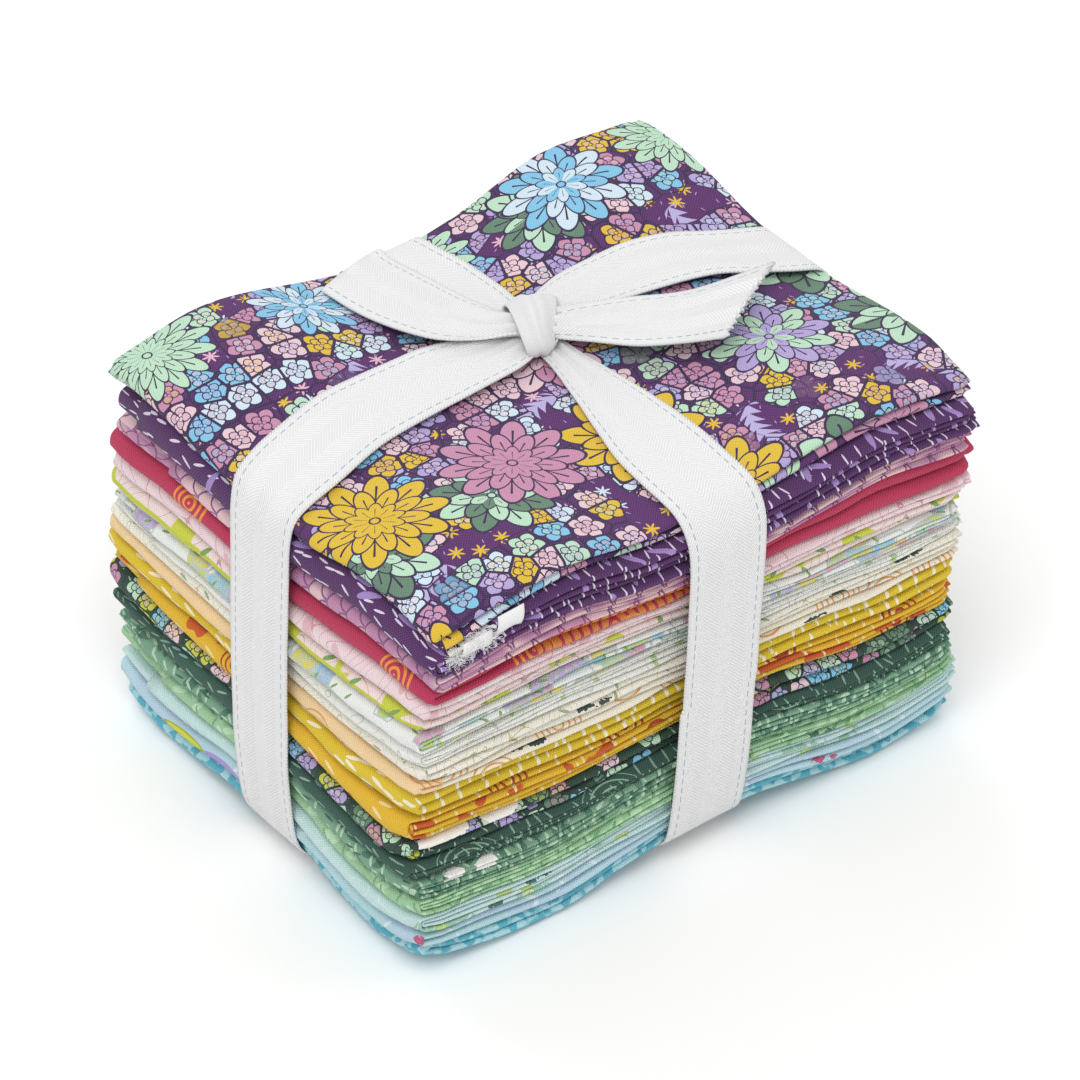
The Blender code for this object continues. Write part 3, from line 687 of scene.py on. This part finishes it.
def make_end(name, rows, pinked, swell, lanes=29):
    """A free end of the tape, gathered at the knot; pinked means cut with small teeth."""
    left = spline([row[:3] for row in rows], 9)
    right = spline([row[3:] for row in rows], 9)
    t = np.linspace(0.0, 1.0, lanes)[None, :, None]
    places = left[:, None] * (1 - t) + right[:, None] * t
    along = distances((left + right) / 2)[:, None]
    gather = np.exp(-(along / END_GATHER) ** 2)
    t = t[0, :, 0]
    lift = gather * 0.9 * np.cos(t * math.tau * 2.4 + 0.8) + swell * np.sin(math.pi * t) * (1 - gather)
    places[..., 2] += lift
    if pinked:
        tooth = np.where(np.arange(lanes) % 2, 0.8, -0.3)[:, None]
        last = places[-1] - places[-2]
        places[-1] += tooth * last / np.linalg.norm(last, axis=1)[:, None]
    return grid_mesh(name, places, points_of(along, t * TAPE_WIDTH))


def make_wrap(name, centre, turn, half_long, half_wide, half_high):
    """The turn of tape that holds the knot: lightly gathered, with rolled edges, and tucked under."""
    s = np.linspace(-2.2, 2.2, 60)[:, None]
    t = np.linspace(-1.0, 1.0, 33)[None, :]
    gathers = 0.5 * np.cos(t * 4.4 + 1.3 * s + 0.9) + 0.34 * np.cos(t * 9.5 + 1.7 * s + 2.2)
    body = (1.0 - 0.62 * np.abs(t) ** 2.1 - 0.20 * t) * (1.0 + 0.15 * gathers)
    along = half_long * np.sin(s) * (0.78 + 0.22 * body) + 0.9 * t
    side = half_wide * t * (0.94 + 0.26 * np.sin(s)) + 0.9 * np.sin(1.4 * s)
    up = half_high * np.cos(s) * body
    way = math.radians(turn)
    places = points_of(centre[0] + along * math.cos(way) + side * math.sin(way),
                       centre[1] + along * math.sin(way) - side * math.cos(way), centre[2] + up)
    return grid_mesh(name, places, points_of(s * half_long * 1.3, TAPE_WIDTH / 2 + 7.0 * t))


# ---------------------------------------------------------------- materials

def linear_from_hex(hex_colour):
    """Turn an sRGB hex colour into the linear values that a shader takes."""
    channels = [int(hex_colour[i:i + 2], 16) / 255 for i in (0, 2, 4)]
    return [c / 12.92 if c <= 0.04045 else ((c + 0.055) / 1.055) ** 2.4 for c in channels] + [1.0]


def feed(tree, node, inputs):
    """Feed a node's inputs with links, numbers or hex colours, in their order or by their names."""
    for place, value in inputs.items() if isinstance(inputs, dict) else enumerate(inputs):
        if isinstance(value, bpy.types.NodeSocket):
            tree.links.new(value, node.inputs[place])
        else:
            node.inputs[place].default_value = linear_from_hex(value) if isinstance(value, str) else value


def add(tree, kind, inputs=(), out=0, **settings):
    """Add one shader node with its settings and links, and give one of its outputs. A kind in capitals is a
    sum, as ADD is, and VectorMath:ADD is the same for places."""
    if kind.isupper():
        kind = "Math:" + kind
    kind, _, operation = kind.partition(":")
    if operation:
        settings["operation"] = operation
    made = tree.nodes.new("ShaderNode" + kind)
    for name, value in settings.items():
        setattr(made, name, value)
    feed(tree, made, inputs)
    return made.outputs[out]


def scattered(tree, place, size, jitter):
    """Where a point lies from the middle of its own patch of a scatter, three chance values for the patch,
    and where that middle is."""
    middle = add(tree, "TexVoronoi", {"Vector": place, "Scale": 1 / size, "Randomness": jitter},
                 out="Position", voronoi_dimensions="2D")
    local = add(tree, "VectorMath:SUBTRACT", (place, middle))
    chance = add(tree, "SeparateXYZ", (middle.node.outputs["Color"],))
    return local, chance.node.outputs, middle


def chain(tree, value, *steps):
    """Add one node after the other, each fed first with what the one before it gives, and give the last."""
    for kind, *others in steps:
        value = add(tree, kind, (value, *others))
    return value


def lay(tree, ground, colour, *where):
    """The ground with a colour laid on it, where each mask holds. A mask is an output, or a value and the
    limit that it has to be below."""
    mask = None
    for part in where:
        part = add(tree, "LESS_THAN", part) if isinstance(part, tuple) else part
        mask = part if mask is None else add(tree, "MULTIPLY", (mask, part))
    return add(tree, "MixRGB", (mask, ground, colour))


def choice(tree, value, colours):
    """One colour of a row, picked by a value from 0 to 1."""
    ramp = add(tree, "ValToRGB", (value,))
    bands = ramp.node.color_ramp
    bands.interpolation = "CONSTANT"
    while len(bands.elements) < len(colours):
        bands.elements.new(0.5)
    for number, colour in enumerate(colours):
        bands.elements[number].position = number / len(colours)
        bands.elements[number].color = linear_from_hex(colour)
    return ramp


def polar(tree, local):
    """The direction and the distance of a point from the middle of its patch."""
    parts = add(tree, "SeparateXYZ", (local,)).node.outputs
    return (add(tree, "ARCTAN2", (parts[1], parts[0])),
            add(tree, "VectorMath:LENGTH", (local,), out="Value"))


def petals(tree, angle, radius, count, start, middle, half_long, half_wide, power=2.0):
    """How far a point lies from the nearest petal of a ring: 1 is the petal's edge. A low power gives
    pointed petals, a high one blunt petals."""
    turns = chain(tree, angle, ("MULTIPLY", count), ("MULTIPLY_ADD", 1 / math.tau, start))
    fold = chain(tree, turns, ("PINGPONG", 0.5), ("MULTIPLY", math.tau), ("DIVIDE", count))
    along = chain(tree, fold, ("COSINE",), ("MULTIPLY", radius), ("SUBTRACT", middle),
                  ("DIVIDE", half_long), ("ABSOLUTE",), ("POWER", power))
    aside = chain(tree, fold, ("SINE",), ("MULTIPLY", radius), ("DIVIDE", half_wide),
                  ("ABSOLUTE",), ("POWER", power))
    return add(tree, "ADD", (along, aside)), turns


def large_flowers(tree, ground, place, size, shift, counts, power, lights, darks, line, share):
    """Open flowers with three rings of outlined, veined petals; share of the patches hold one. Their petals
    number counts[0], or once or twice counts[1] more."""
    place = add(tree, "VectorMath:ADD", (place, shift))
    local, chance, _ = scattered(tree, place, size, jitter=0.22)
    angle, radius = polar(tree, local)
    shrink = add(tree, "MULTIPLY_ADD", (chance[2], -0.30 / share, 1.25))
    radius = add(tree, "MULTIPLY", (radius, shrink))
    count = chain(tree, chance[1], ("MULTIPLY", 2.999), ("FLOOR",), ("MULTIPLY_ADD", counts[1], counts[0]))
    wide = add(tree, "DIVIDE", (0.84 * size, count))
    outline, inside, half_vein = 1.07, 0.80, 0.035
    held = add(tree, "LESS_THAN", (chance[2], share))
    light, dark = (choice(tree, chance[0], colours) for colours in (lights, darks))
    # each ring of petals: how far out and half how long, in sizes, how narrow, and its first turn
    for out, half_long, narrow, first in (
            (0.315, 0.145, 0.98, 0.0), (0.205, 0.125, 0.74, 0.5), (0.105, 0.080, 0.50, 0.0)):
        half_wide = add(tree, "MULTIPLY", (wide, narrow))
        start = add(tree, "ADD", (chance[2], first))
        edge, turns = petals(tree, angle, radius, count, start, out * size, half_long * size, half_wide,
                             power)
        ground = lay(tree, ground, line, (edge, outline), held)
        odd = chain(tree, turns, ("ADD", 0.5), ("FLOORED_MODULO", 2.0), ("GREATER_THAN", 1.0))
        shade = add(tree, "MixRGB", (odd, light, dark))
        vein = add(tree, "PINGPONG", (turns, 0.5))
        shade = lay(tree, shade, line, (vein, half_vein), (radius, (out + 0.25 * half_long) * size))
        ground = lay(tree, ground, shade, (edge, inside), held)
    for eye, colour in ((0.036, line), (0.025, light)):
        ground = lay(tree, ground, colour, (radius, eye * size), held)
    return ground


def small_roses(tree, ground, place, size, colours, line, low):
    """Clusters of roses side by side, each with two rings of outlined petals round a small whorl."""
    local, chance, middle = scattered(tree, place, size, jitter=0.75)
    held = patches(tree, middle, 2.6 * size, low, low + 0.01)
    border = add(tree, "TexVoronoi", {"Vector": place, "Scale": 1 / size, "Randomness": 0.75},
                 voronoi_dimensions="2D", feature="DISTANCE_TO_EDGE")
    angle, radius = polar(tree, local)
    outer, inner = (choice(tree, chance[k], colours) for k in (0, 2))
    inner = add(tree, "MixRGB", (0.35, outer, inner))
    outline, inside, half_gap = 1.10, 0.72, 0.05
    # each ring: how far out, half how long and half how wide its petals are, their number, the first turn
    for out, half_long, half_wide, count, first, colour in (
            (0.375, 0.255, 0.265, 5.0, 0.0, outer), (0.205, 0.160, 0.165, 4.0, 0.3, inner),
            (0.080, 0.075, 0.075, 3.0, 0.6, outer)):
        start = add(tree, "ADD", (chance[1], first))
        edge, _ = petals(tree, angle, radius, count, start, out * size, half_long * size, half_wide * size,
                         power=1.6)
        ground = lay(tree, ground, line, (edge, outline), held)
        ground = lay(tree, ground, colour, (edge, inside), held)
    return lay(tree, ground, line, (border, half_gap), held)


def stars(tree, ground, place, size, colours, share):
    """Small open stars of seven rays."""
    local, chance, _ = scattered(tree, place, size, jitter=0.7)
    angle, radius = polar(tree, local)
    edge, _ = petals(tree, angle, radius, 7.0, chance[0], 0.15 * size, 0.17 * size, 0.042 * size)
    return lay(tree, ground, choice(tree, chance[1], colours), (edge, 1.0), (chance[2], share))


def sprigs(tree, ground, place, size, half_long, colour, share):
    """Curved twigs with slanting leaves on both sides."""
    local, chance, _ = scattered(tree, place, size, jitter=0.5)
    turn = add(tree, "MULTIPLY", (chance[0], math.tau))
    local = add(tree, "VectorRotate", {"Vector": local, "Angle": turn}, rotation_type="Z_AXIS")
    parts = add(tree, "SeparateXYZ", (local,)).node.outputs
    aside = chain(tree, parts[0], ("MULTIPLY", 1.7 / half_long), ("COSINE",),
                  ("MULTIPLY_ADD", 0.30 * half_long, parts[1]), ("ABSOLUTE",))
    half_wide = chain(tree, aside, ("MULTIPLY_ADD", -0.9, parts[0]), ("PINGPONG", 0.17 * half_long),
                      ("MULTIPLY_ADD", 2.2, 0.03 * half_long))
    distance = add(tree, "VectorMath:LENGTH", (local,), out="Value")
    return lay(tree, ground, colour, (aside, half_wide), (distance, half_long), (chance[2], share))


def oval(tree, ground, local, half_long, half_wide, colour):
    scaled = add(tree, "VectorMath:MULTIPLY", (local, (1 / half_long, 1 / half_wide, 0.0)))
    edge = add(tree, "VectorMath:LENGTH", (scaled,), out="Value")
    return lay(tree, ground, colour, (edge, 1.0))


def dashes(tree, ground, place, size, half_long, half_wide, colour, lean, spread):
    """Short strokes, all leaning one way and each a little off it."""
    local, chance, _ = scattered(tree, place, size, jitter=0.8)
    turn = add(tree, "MULTIPLY_ADD", (chance[0], spread, lean))
    local = add(tree, "VectorRotate", {"Vector": local, "Angle": turn}, rotation_type="Z_AXIS")
    return oval(tree, ground, local, half_long, half_wide, colour)


def spots(tree, ground, place, colour, *rows):
    """Ovals at their own places on the cloth: place, half length and half width of each."""
    for along, across, half_long, half_wide in rows:
        local = add(tree, "VectorMath:SUBTRACT", (place, (along, across, 0.0)))
        ground = oval(tree, ground, local, half_long, half_wide, colour)
    return ground


def bits(tree, ground, place, colour, *rows):
    """The same with ragged edges: small parts of motifs that show where the cloth folds."""
    noise = add(tree, "TexNoise", {"Vector": place, "Scale": 1.1, "Detail": 1.0}, out="Color",
                noise_dimensions="2D")
    ragged = chain(tree, noise, ("VectorMath:SUBTRACT", (0.5, 0.5, 0.0)),
                   ("VectorMath:MULTIPLY_ADD", (3.2, 1.2, 0.0), place))
    return spots(tree, ground, ragged, colour, *rows)


def rings(tree, ground, place, where, reach, step, width, colour):
    """Patches of lines, one round the other: scattered a distance apart, or about a tuple of places."""
    if isinstance(where, tuple):
        middles = [add(tree, "VectorMath:SUBTRACT", (place, (*at, 0.0))) for at in where]
    else:
        middles = [scattered(tree, place, where, jitter=0.9)[0]]
    for local in middles:
        radius = add(tree, "VectorMath:LENGTH", (local,), out="Value")
        wave = add(tree, "PINGPONG", (radius, step / 2))
        ground = lay(tree, ground, colour, (wave, width / 2), (radius, reach))
    return ground


def patches(tree, place, size, low, high):
    """Soft patches of a scatter: 0 outside, 1 inside."""
    noise = add(tree, "TexNoise", {"Vector": place, "Scale": 1 / size, "Detail": 1.0}, noise_dimensions="4D")
    return add(tree, "MapRange", {"Value": noise, "From Min": low, "From Max": high})


def blotches(tree, ground, place, size, low, high, colour):
    """A second colour in soft patches."""
    return add(tree, "MixRGB", (patches(tree, place, size, low, high), ground, colour))


def hairlines(tree, ground, place, size, half_wide, colour):
    """Thin wandering lines, where a noise passes each tenth of its range."""
    noise = add(tree, "TexNoise", {"Vector": place, "Scale": 1 / size, "Detail": 0.0}, noise_dimensions="4D")
    wave = add(tree, "PINGPONG", (noise, 0.05))
    return lay(tree, ground, colour, (wave, half_wide))


def scales(tree, ground, place, size, line):
    """Rows of overlapping round scales, each row set half a scale along."""
    parts = add(tree, "SeparateXYZ", (place,)).node.outputs
    row = add(tree, "MULTIPLY", (parts[1], 2 / size))
    along = add(tree, "MULTIPLY", (parts[0], 1 / size))
    across = chain(tree, row, ("FLOOR",), ("MULTIPLY_ADD", 0.5, along), ("FRACT",), ("SUBTRACT", 0.5))
    up = chain(tree, row, ("FRACT",), ("MULTIPLY", 0.5))
    both = add(tree, "CombineXYZ", (across, up, 0.0))
    radius = add(tree, "VectorMath:LENGTH", (both,), out="Value")
    outline = chain(tree, radius, ("SUBTRACT", 0.46), ("ABSOLUTE",))
    return lay(tree, ground, line, (outline, 0.035))


MINT, SAGE, SKY, ICE = "BFE3C6", "64876F", "84C6E8", "D3E7F3"
LILAC, PINK, BLUSH, GOLD = "B7A6DA", "CB8FAE", "EBCBD3", "E4BE33"
PLUM_LINE, INK = "33194A", "34483F"
ALONG = math.pi / 2       # a stroke that crosses the folds at the front
LEFT_FOLD = CLOTH_WIDTH / 2
MIDDLE = CLOTH_LENGTH / 2

# Every print: its ground colour, then its layers from the lowest up. A layer is the function that lays it and
# what that takes after the place on the cloth, sizes in millimetres. The motifs are generic, in the colours,
# sizes and density of the prints in the photograph.
PRINTS = {
    "purple_floral": (
        "571F66",
        (dashes, 4.4, 0.6, 0.12, "B9A2D4", 0.6, 2.6),
        (stars, 6.4, (GOLD, "E9B9CB", GOLD, ICE), 0.45),
        (sprigs, 19.0, 8.0, "BDB2E0", 0.5),
        (small_roses, 7.2, (PINK, BLUSH, ICE, LILAC, MINT, PINK, SKY, BLUSH, GOLD, LILAC), PLUM_LINE, 0.40),
        (large_flowers, 38.0, (407.0, 211.0, 0.0), (7.0, 1.0), 1.6, (SAGE, MINT, GOLD, PINK, SAGE),
         (MINT, SAGE, GOLD, BLUSH, MINT), PLUM_LINE, 0.5),
        (large_flowers, 36.0, (0.0, 0.0, 0.0), (10.0, 2.0), 1.9, (MINT, SAGE, SKY, GOLD, PINK, LILAC),
         (MINT, MINT, ICE, GOLD, PINK, MINT), PLUM_LINE, 0.6)),
    "purple_dashes": (
        "501F5E",
        (dashes, 3.7, 1.7, 0.24, "E2D8EC", ALONG - 0.35, 0.7),
        (dashes, 9.0, 3.2, 0.8, "A587C6", 0.3, 1.6)),
    "mauve_scales": (
        "C48BB0",
        (blotches, 12.0, 0.45, 0.55, "E6C4C7"),
        (scales, 7.0, "8E5584")),
    "crimson": (
        "BC2D55",
        (rings, 26.0, 6.0, 1.7, 0.75, "EF9B38"),
        (rings, ((331.0, 106.0), (228.0, 106.0), (331.0, 352.0), (228.0, 352.0)), 21.0, 2.6, 1.7, "DE8A3C")),
    "pale_blush": (
        "F1DCDF",
        (hairlines, 11.0, 0.0035, "D9A3AF"),
        (dashes, 16.0, 1.4, 4.0, "E5BEC6", 0.3, 1.0)),
    "blush_and_lime": (
        "F2DFDA",
        (hairlines, 10.0, 0.003, "C9A0A4"),
        (blotches, 12.0, 0.56, 0.57, "CBD344"),
        (spots, "C6CE35", (LEFT_FOLD + 0.1, MIDDLE, 0.8, CLOTH_LENGTH)),
        (dashes, 10.0, 2.0, 0.7, "7FA65B", 0.4, 2.0)),
    "pastel_floral": (
        "EDF0EC",
        (small_roses, 8.0, ("ACD8BE", "94CAE6", "C4AEDC", "DFD460", "DCA6C0", "BFD97A"), "C2CCC8", 0.48),
        (dashes, 7.0, 1.2, 0.35, "88A868", 0.3, 2.4)),
    "white": (
        "F0F0EA",
        (hairlines, 9.0, 0.0035, "C6CCC0"),
        (dashes, 13.0, 2.4, 0.8, "B9CF9C", 0.4, 2.0)),
    "cream_lines": (
        "F3EFE2",
        (hairlines, 7.0, 0.0035, "CFBB86"),
        (dashes, 11.0, 1.5, 0.4, "9DB088", 0.4, 2.4),
        (bits, INK, (233.0, 104.9, 2.4, 0.6), (228.4, 105.4, 1.6, 0.6), (163.0, 105.8, 2.6, 0.9),
         (158.4, 106.4, 1.6, 0.5), (153.6, 106.4, 2.4, 0.6), (419.0, 106.8, 1.6, 0.6),
         (414.4, 106.6, 2.2, 0.5))),
    "peach": (
        "F3ECDA",
        (spots, "F3D3A0", (LEFT_FOLD, MIDDLE, 9.0, CLOTH_LENGTH)),
        (rings, 24.0, 7.0, 1.5, 0.5, "E3A35F"),
        (bits, INK, (257.6, 102.4, 2.2, 0.5), (253.2, 102.8, 1.4, 0.4), (249.8, 103.8, 1.8, 0.7),
         (245.4, 104.4, 2.4, 0.8), (168.6, 105.6, 3.6, 0.4))),
    "mustard_dashes": (
        "E0C325",
        (dashes, 4.4, 2.4, 0.45, "F6EFD6", ALONG - 0.3, 0.6)),
    "golden_orange": (
        "E4B722",
        (blotches, 10.0, 0.59, 0.60, "CB581C"),
        (dashes, 6.0, 2.2, 0.4, "F1DDA2", ALONG - 0.3, 0.6),
        (rings, 33.0, 6.0, 1.6, 0.6, "A93A1A")),
    "green_floral": (
        "25463A",
        (dashes, 3.6, 0.9, 0.18, "A9C9B4", 0.5, 2.0),
        (small_roses, 6.2, (PINK, MINT, LILAC, SAGE, BLUSH, SKY, LILAC, "C9CC40", MINT), "1B372E", 0.42)),
    "dark_green": (
        "2E5549",
        (dashes, 3.8, 1.7, 0.26, "8DB39E", ALONG - 0.4, 0.8),
        (rings, 40.0, 9.0, 1.8, 0.4, "8FB7A0")),
    "sage_leaves": (
        "7AA68A",
        (dashes, 4.6, 2.4, 0.9, "4F8069", 0.2, 2.6),
        (dashes, 3.4, 1.4, 0.40, "B9D9BC", 1.1, 2.0),
        (dashes, 5.6, 1.6, 0.30, "3E6B57", 1.2, 1.4)),
    "mint": (
        "A1CDA1",
        (dashes, 5.0, 2.4, 1.0, "C0E3BC", 0.2, 2.6),
        (dashes, 4.2, 1.6, 0.35, "78AC82", 1.1, 2.2),
        (bits, "42695B", (167.6, 350.2, 1.6, 0.6), (163.6, 350.8, 1.8, 0.8))),
    "pale_blue_leaves": (
        "C8E4E3",
        (sprigs, 24.0, 11.0, "9CC9B0", 0.7),
        (dashes, 26.0, 5.0, 2.2, "BFD77E", 0.2, 2.0),
        (hairlines, 11.0, 0.003, "E2EEF4"),
        (bits, "4A6F66", (382.0, 112.0, 2.0, 0.4), (387.0, 111.8, 2.2, 0.4), (256.5, 348.8, 2.4, 0.4),
         (312.4, 108.4, 1.4, 0.4), (316.0, 108.6, 1.6, 0.4))),
    "blue_lilac": (
        "BADEE4",
        (blotches, 16.0, 0.45, 0.60, "BCD5E7"),
        (dashes, 8.0, 1.8, 0.5, "DDEAF2", 0.4, 2.4),
        (spots, "AC9CD9", (LEFT_FOLD - 0.9, 186.0, 1.8, 8.0)),
        (spots, "AFB822", (LEFT_FOLD - 0.5, 202.0, 1.9, 8.5)),
        (spots, "D6DB3C", (LEFT_FOLD - 0.3, 202.0, 1.2, 7.3)),
        (bits, "C45A80", (LEFT_FOLD + 0.4, 109.5, 2.2, 2.0), (165.4, 108.2, 1.8, 0.8),
         (161.6, 108.6, 1.4, 0.4), (160.6, 104.0, 3.6, 0.4))),
    "aqua": (
        "5CB6CB",
        (blotches, 3.0, 0.47, 0.54, "B2E1EA")),
}


def start_material(name):
    """A new material and its node tree."""
    material = bpy.data.materials.new(name)
    material.use_nodes = True
    return material, material.node_tree


def place_on_cloth(tree):
    """Where a point lies on the flat cloth, in millimetres."""
    flat = add(tree, "UVMap", uv_map="cloth")
    return add(tree, "VectorMath:MULTIPLY", (flat, (1 / MM, 1 / MM, 0.0)))


def weave(tree, colour, height, strength, depth, **finish):
    """Give the shader its colour, a relief of threads so deep, in millimetres, and a matt woven finish."""
    bump = add(tree, "Bump", {"Strength": strength, "Distance": depth * MM, "Height": height}, out="Normal")
    feed(tree, tree.nodes["Principled BSDF"],
         {"Base Color": colour, "Normal": bump, "Specular IOR Level": 0.25, **finish})


def cotton(cloth):
    """Printed quilting cotton in plain weave: matt, with a fine grid of threads that carry a faint painted
    glint, and pale where its woven edge is bare. The threads are drawn at 0.75 mm, where real ones are about
    0.35 mm, so that they show."""
    material, tree = start_material(cloth.replace("_", " ") + " cotton")
    place = place_on_cloth(tree)
    colour, *layers = PRINTS[cloth]
    for lay_motifs, *look in layers:
        colour = lay_motifs(tree, colour, place, *look)
    pitch = math.tau / 0.75
    waves = chain(tree, place, ("VectorMath:MULTIPLY", (pitch, pitch, 0.0)), ("VectorMath:SINE",))
    parts = add(tree, "SeparateXYZ", (waves,)).node.outputs
    thread = add(tree, "MULTIPLY", (parts[0], parts[1]))
    shade = add(tree, "MULTIPLY_ADD", (thread, 0.12, 0.90))
    colour = add(tree, "MixRGB", (1.0, colour, shade), blend_type="MULTIPLY")
    # painted glint: a little white mixed into the colour along the threads, standing in for their highlights
    painted_glint = add(tree, "MULTIPLY_ADD", (thread, 0.022, 0.022))
    colour = add(tree, "MixRGB", (painted_glint, colour, "FFFFFF"))
    bare = add(tree, "Attribute", attribute_name="bare", out="Fac")
    ragged = add(tree, "TexNoise", {"Vector": place, "Scale": 0.5, "Detail": 1.0}, noise_dimensions="2D")
    colour = lay(tree, colour, "EFEDEA", (ragged, bare))
    weave(tree, colour, thread, 0.4, 0.2, **{"Roughness": 0.85, "Sheen Weight": 0.05, "Sheen Roughness": 0.5})
    return material


def twill_tape():
    """White cotton twill tape: matt herringbone with a dashed pale stitch line near each edge. The ribs are
    drawn at 0.9 mm, where real ones are about 0.6 mm, so that they show."""
    material, tree = start_material("white twill tape")
    parts = add(tree, "SeparateXYZ", (place_on_cloth(tree),)).node.outputs
    rib = chain(tree, parts[1], ("PINGPONG", TAPE_WIDTH / 5), ("ADD", parts[0]),
                ("MULTIPLY", math.tau / 0.9), ("SINE",))
    shade = add(tree, "MULTIPLY_ADD", (rib, 0.065, 0.935))
    from_stitch = chain(tree, parts[1], ("SUBTRACT", TAPE_WIDTH / 2), ("ABSOLUTE",),
                        ("SUBTRACT", TAPE_WIDTH / 2 - 2.0), ("ABSOLUTE",))
    along = chain(tree, parts[0], ("MULTIPLY", 1 / 2.7), ("FRACT",))
    colour = lay(tree, "F1F1F1", "B3C1CC", (from_stitch, 0.16), (along, 0.6))
    colour = add(tree, "MixRGB", (1.0, colour, shade), blend_type="MULTIPLY")
    weave(tree, colour, rib, 0.5, 0.3, Roughness=0.8)
    return material


def pale_card():
    """Smooth matt card under the bundle."""
    material, tree = start_material("pale card floor")
    feed(tree, tree.nodes["Principled BSDF"], {"Base Color": "FAFAFA", "Roughness": 0.9})
    return material


# ---------------------------------------------------------------- build

bpy.ops.object.select_all(action="DESELECT")
low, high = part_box("fat_quarter_01")
offset = Vector(((low.x + high.x) / 2 / MM - PIECES[0].right,
                 (low.y + high.y) / 2 / MM - PIECES[0].back, 0.0))

cloths = []
sheets = []
for number, piece in enumerate(PIECES, 1):
    places, flat, bare = fold_sheet(number, piece)
    cloths.append(places)
    sheet = grid_mesh("cloth_%02d_%s" % (number, piece.cloth), places + np.array(offset), flat, bare)
    thicken(sheet, CLOTH_THICKNESS, True)
    sheet.data.materials.append(cotton(piece.cloth))
    if piece.bare:
        longest, count = (3.4, 520) if number == 2 else (1.6, 36)
        extras = [loose_threads(places + np.array(offset), bare, count, longest, number)]
        if number == 2:
            at = places[bare > 0.75] + np.array(offset)
            front, level = at[:, 1].min(), at[:, 2].mean()
            extras += [bare_corner(at[:, 0].max() + 1.0, front, level + 0.6, 7.2, 4.8),
                       bare_corner(at[:, 0].min() + 0.5, front, level - 1.0, 8.0, 3.6)]
            for extra in extras[1:]:
                thicken(extra, CLOTH_THICKNESS, False)
        sheet = join([sheet, *extras])
    sheets.append(sheet)

parts = [
    make_band("band left to right", cloths, LEFT_TO_RIGHT_BAND, 1, 7.0),
    make_band("band front to back", cloths, FRONT_TO_BACK_BAND, 0, 9.0),
    make_end("right end", RIGHT_END, True, 0.8),
    make_end("back end", BACK_END, False, 0.6),
    make_wrap("wrap of the knot", (7.4, 9.7, 102.6), 66.0, 9.8, 5.2, 4.3),
]
for part in parts:
    part.location = offset * MM
    thicken(part, TAPE_THICKNESS, False)
ribbon = join(parts)
ribbon.name = "ribbon_tape"
bpy.ops.object.mode_set(mode="EDIT")
bpy.ops.mesh.select_all(action="SELECT")
bpy.ops.mesh.normals_make_consistent(inside=False)
bpy.ops.object.mode_set(mode="OBJECT")
bpy.ops.object.transform_apply(location=True, rotation=True, scale=True)
ribbon.data.materials.clear()
ribbon.data.materials.append(twill_tape())

for number, (piece, sheet) in enumerate(zip(PIECES, sheets), 1):
    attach(sheet, "root")
    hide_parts("fat_quarter_%02d" % number)
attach(ribbon, "root")
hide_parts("ribbon")

# ---------------------------------------------------------------- floor, light, camera

bpy.ops.mesh.primitive_plane_add(size=6.0, location=(0.0, 0.0, 0.0))
floor = bpy.context.object
floor.name = "floor"
floor.data.materials.append(pale_card())

AZIMUTH = math.radians(-38.26)
ELEVATION = math.radians(38.87)
DISTANCE = 1.4423
target = Vector((offset.x * MM, offset.y * MM, 0.0519))
back = Vector((math.sin(AZIMUTH) * math.cos(ELEVATION), -math.cos(AZIMUTH) * math.cos(ELEVATION),
               math.sin(ELEVATION)))
camera_data = bpy.data.cameras.new("camera")
camera = bpy.data.objects.new("camera", camera_data)
bpy.context.scene.collection.objects.link(camera)
camera.location = target + back * DISTANCE
camera.rotation_euler = (-back).to_track_quat("-Z", "Y").to_euler()
camera_data.sensor_width = 36.0
camera_data.lens = 211.0
camera_data.shift_x = 0.00348
camera_data.shift_y = -0.00456
camera_data.clip_end = 20.0
bpy.context.scene.camera = camera

Lamp = namedtuple("Lamp", "name x y z size power")
LAMPS = (
    Lamp("window light", -0.75, -0.60, 1.72, 1.2, 17.5),
    Lamp("soft light from the right", 1.3, -0.6, 0.9, 1.2, 3.5),
    Lamp("soft light from behind", 0.2, 1.4, 1.1, 1.4, 7.0),
)
for lamp in LAMPS:
    bpy.ops.object.light_add(type="AREA", location=(lamp.x, lamp.y, lamp.z))
    light = bpy.context.object
    light.name = lamp.name
    light.data.size = lamp.size
    light.data.energy = lamp.power
    aim = Vector((0, 0, 0.05)) - light.location
    light.rotation_euler = aim.to_track_quat("-Z", "Y").to_euler()
world = bpy.data.worlds.new("studio")
world.use_nodes = True
feed(world.node_tree, world.node_tree.nodes["Background"], {"Color": "FFFFFF", "Strength": 0.66})
bpy.context.scene.world = world
bpy.context.scene.view_settings.view_transform = "Standard"
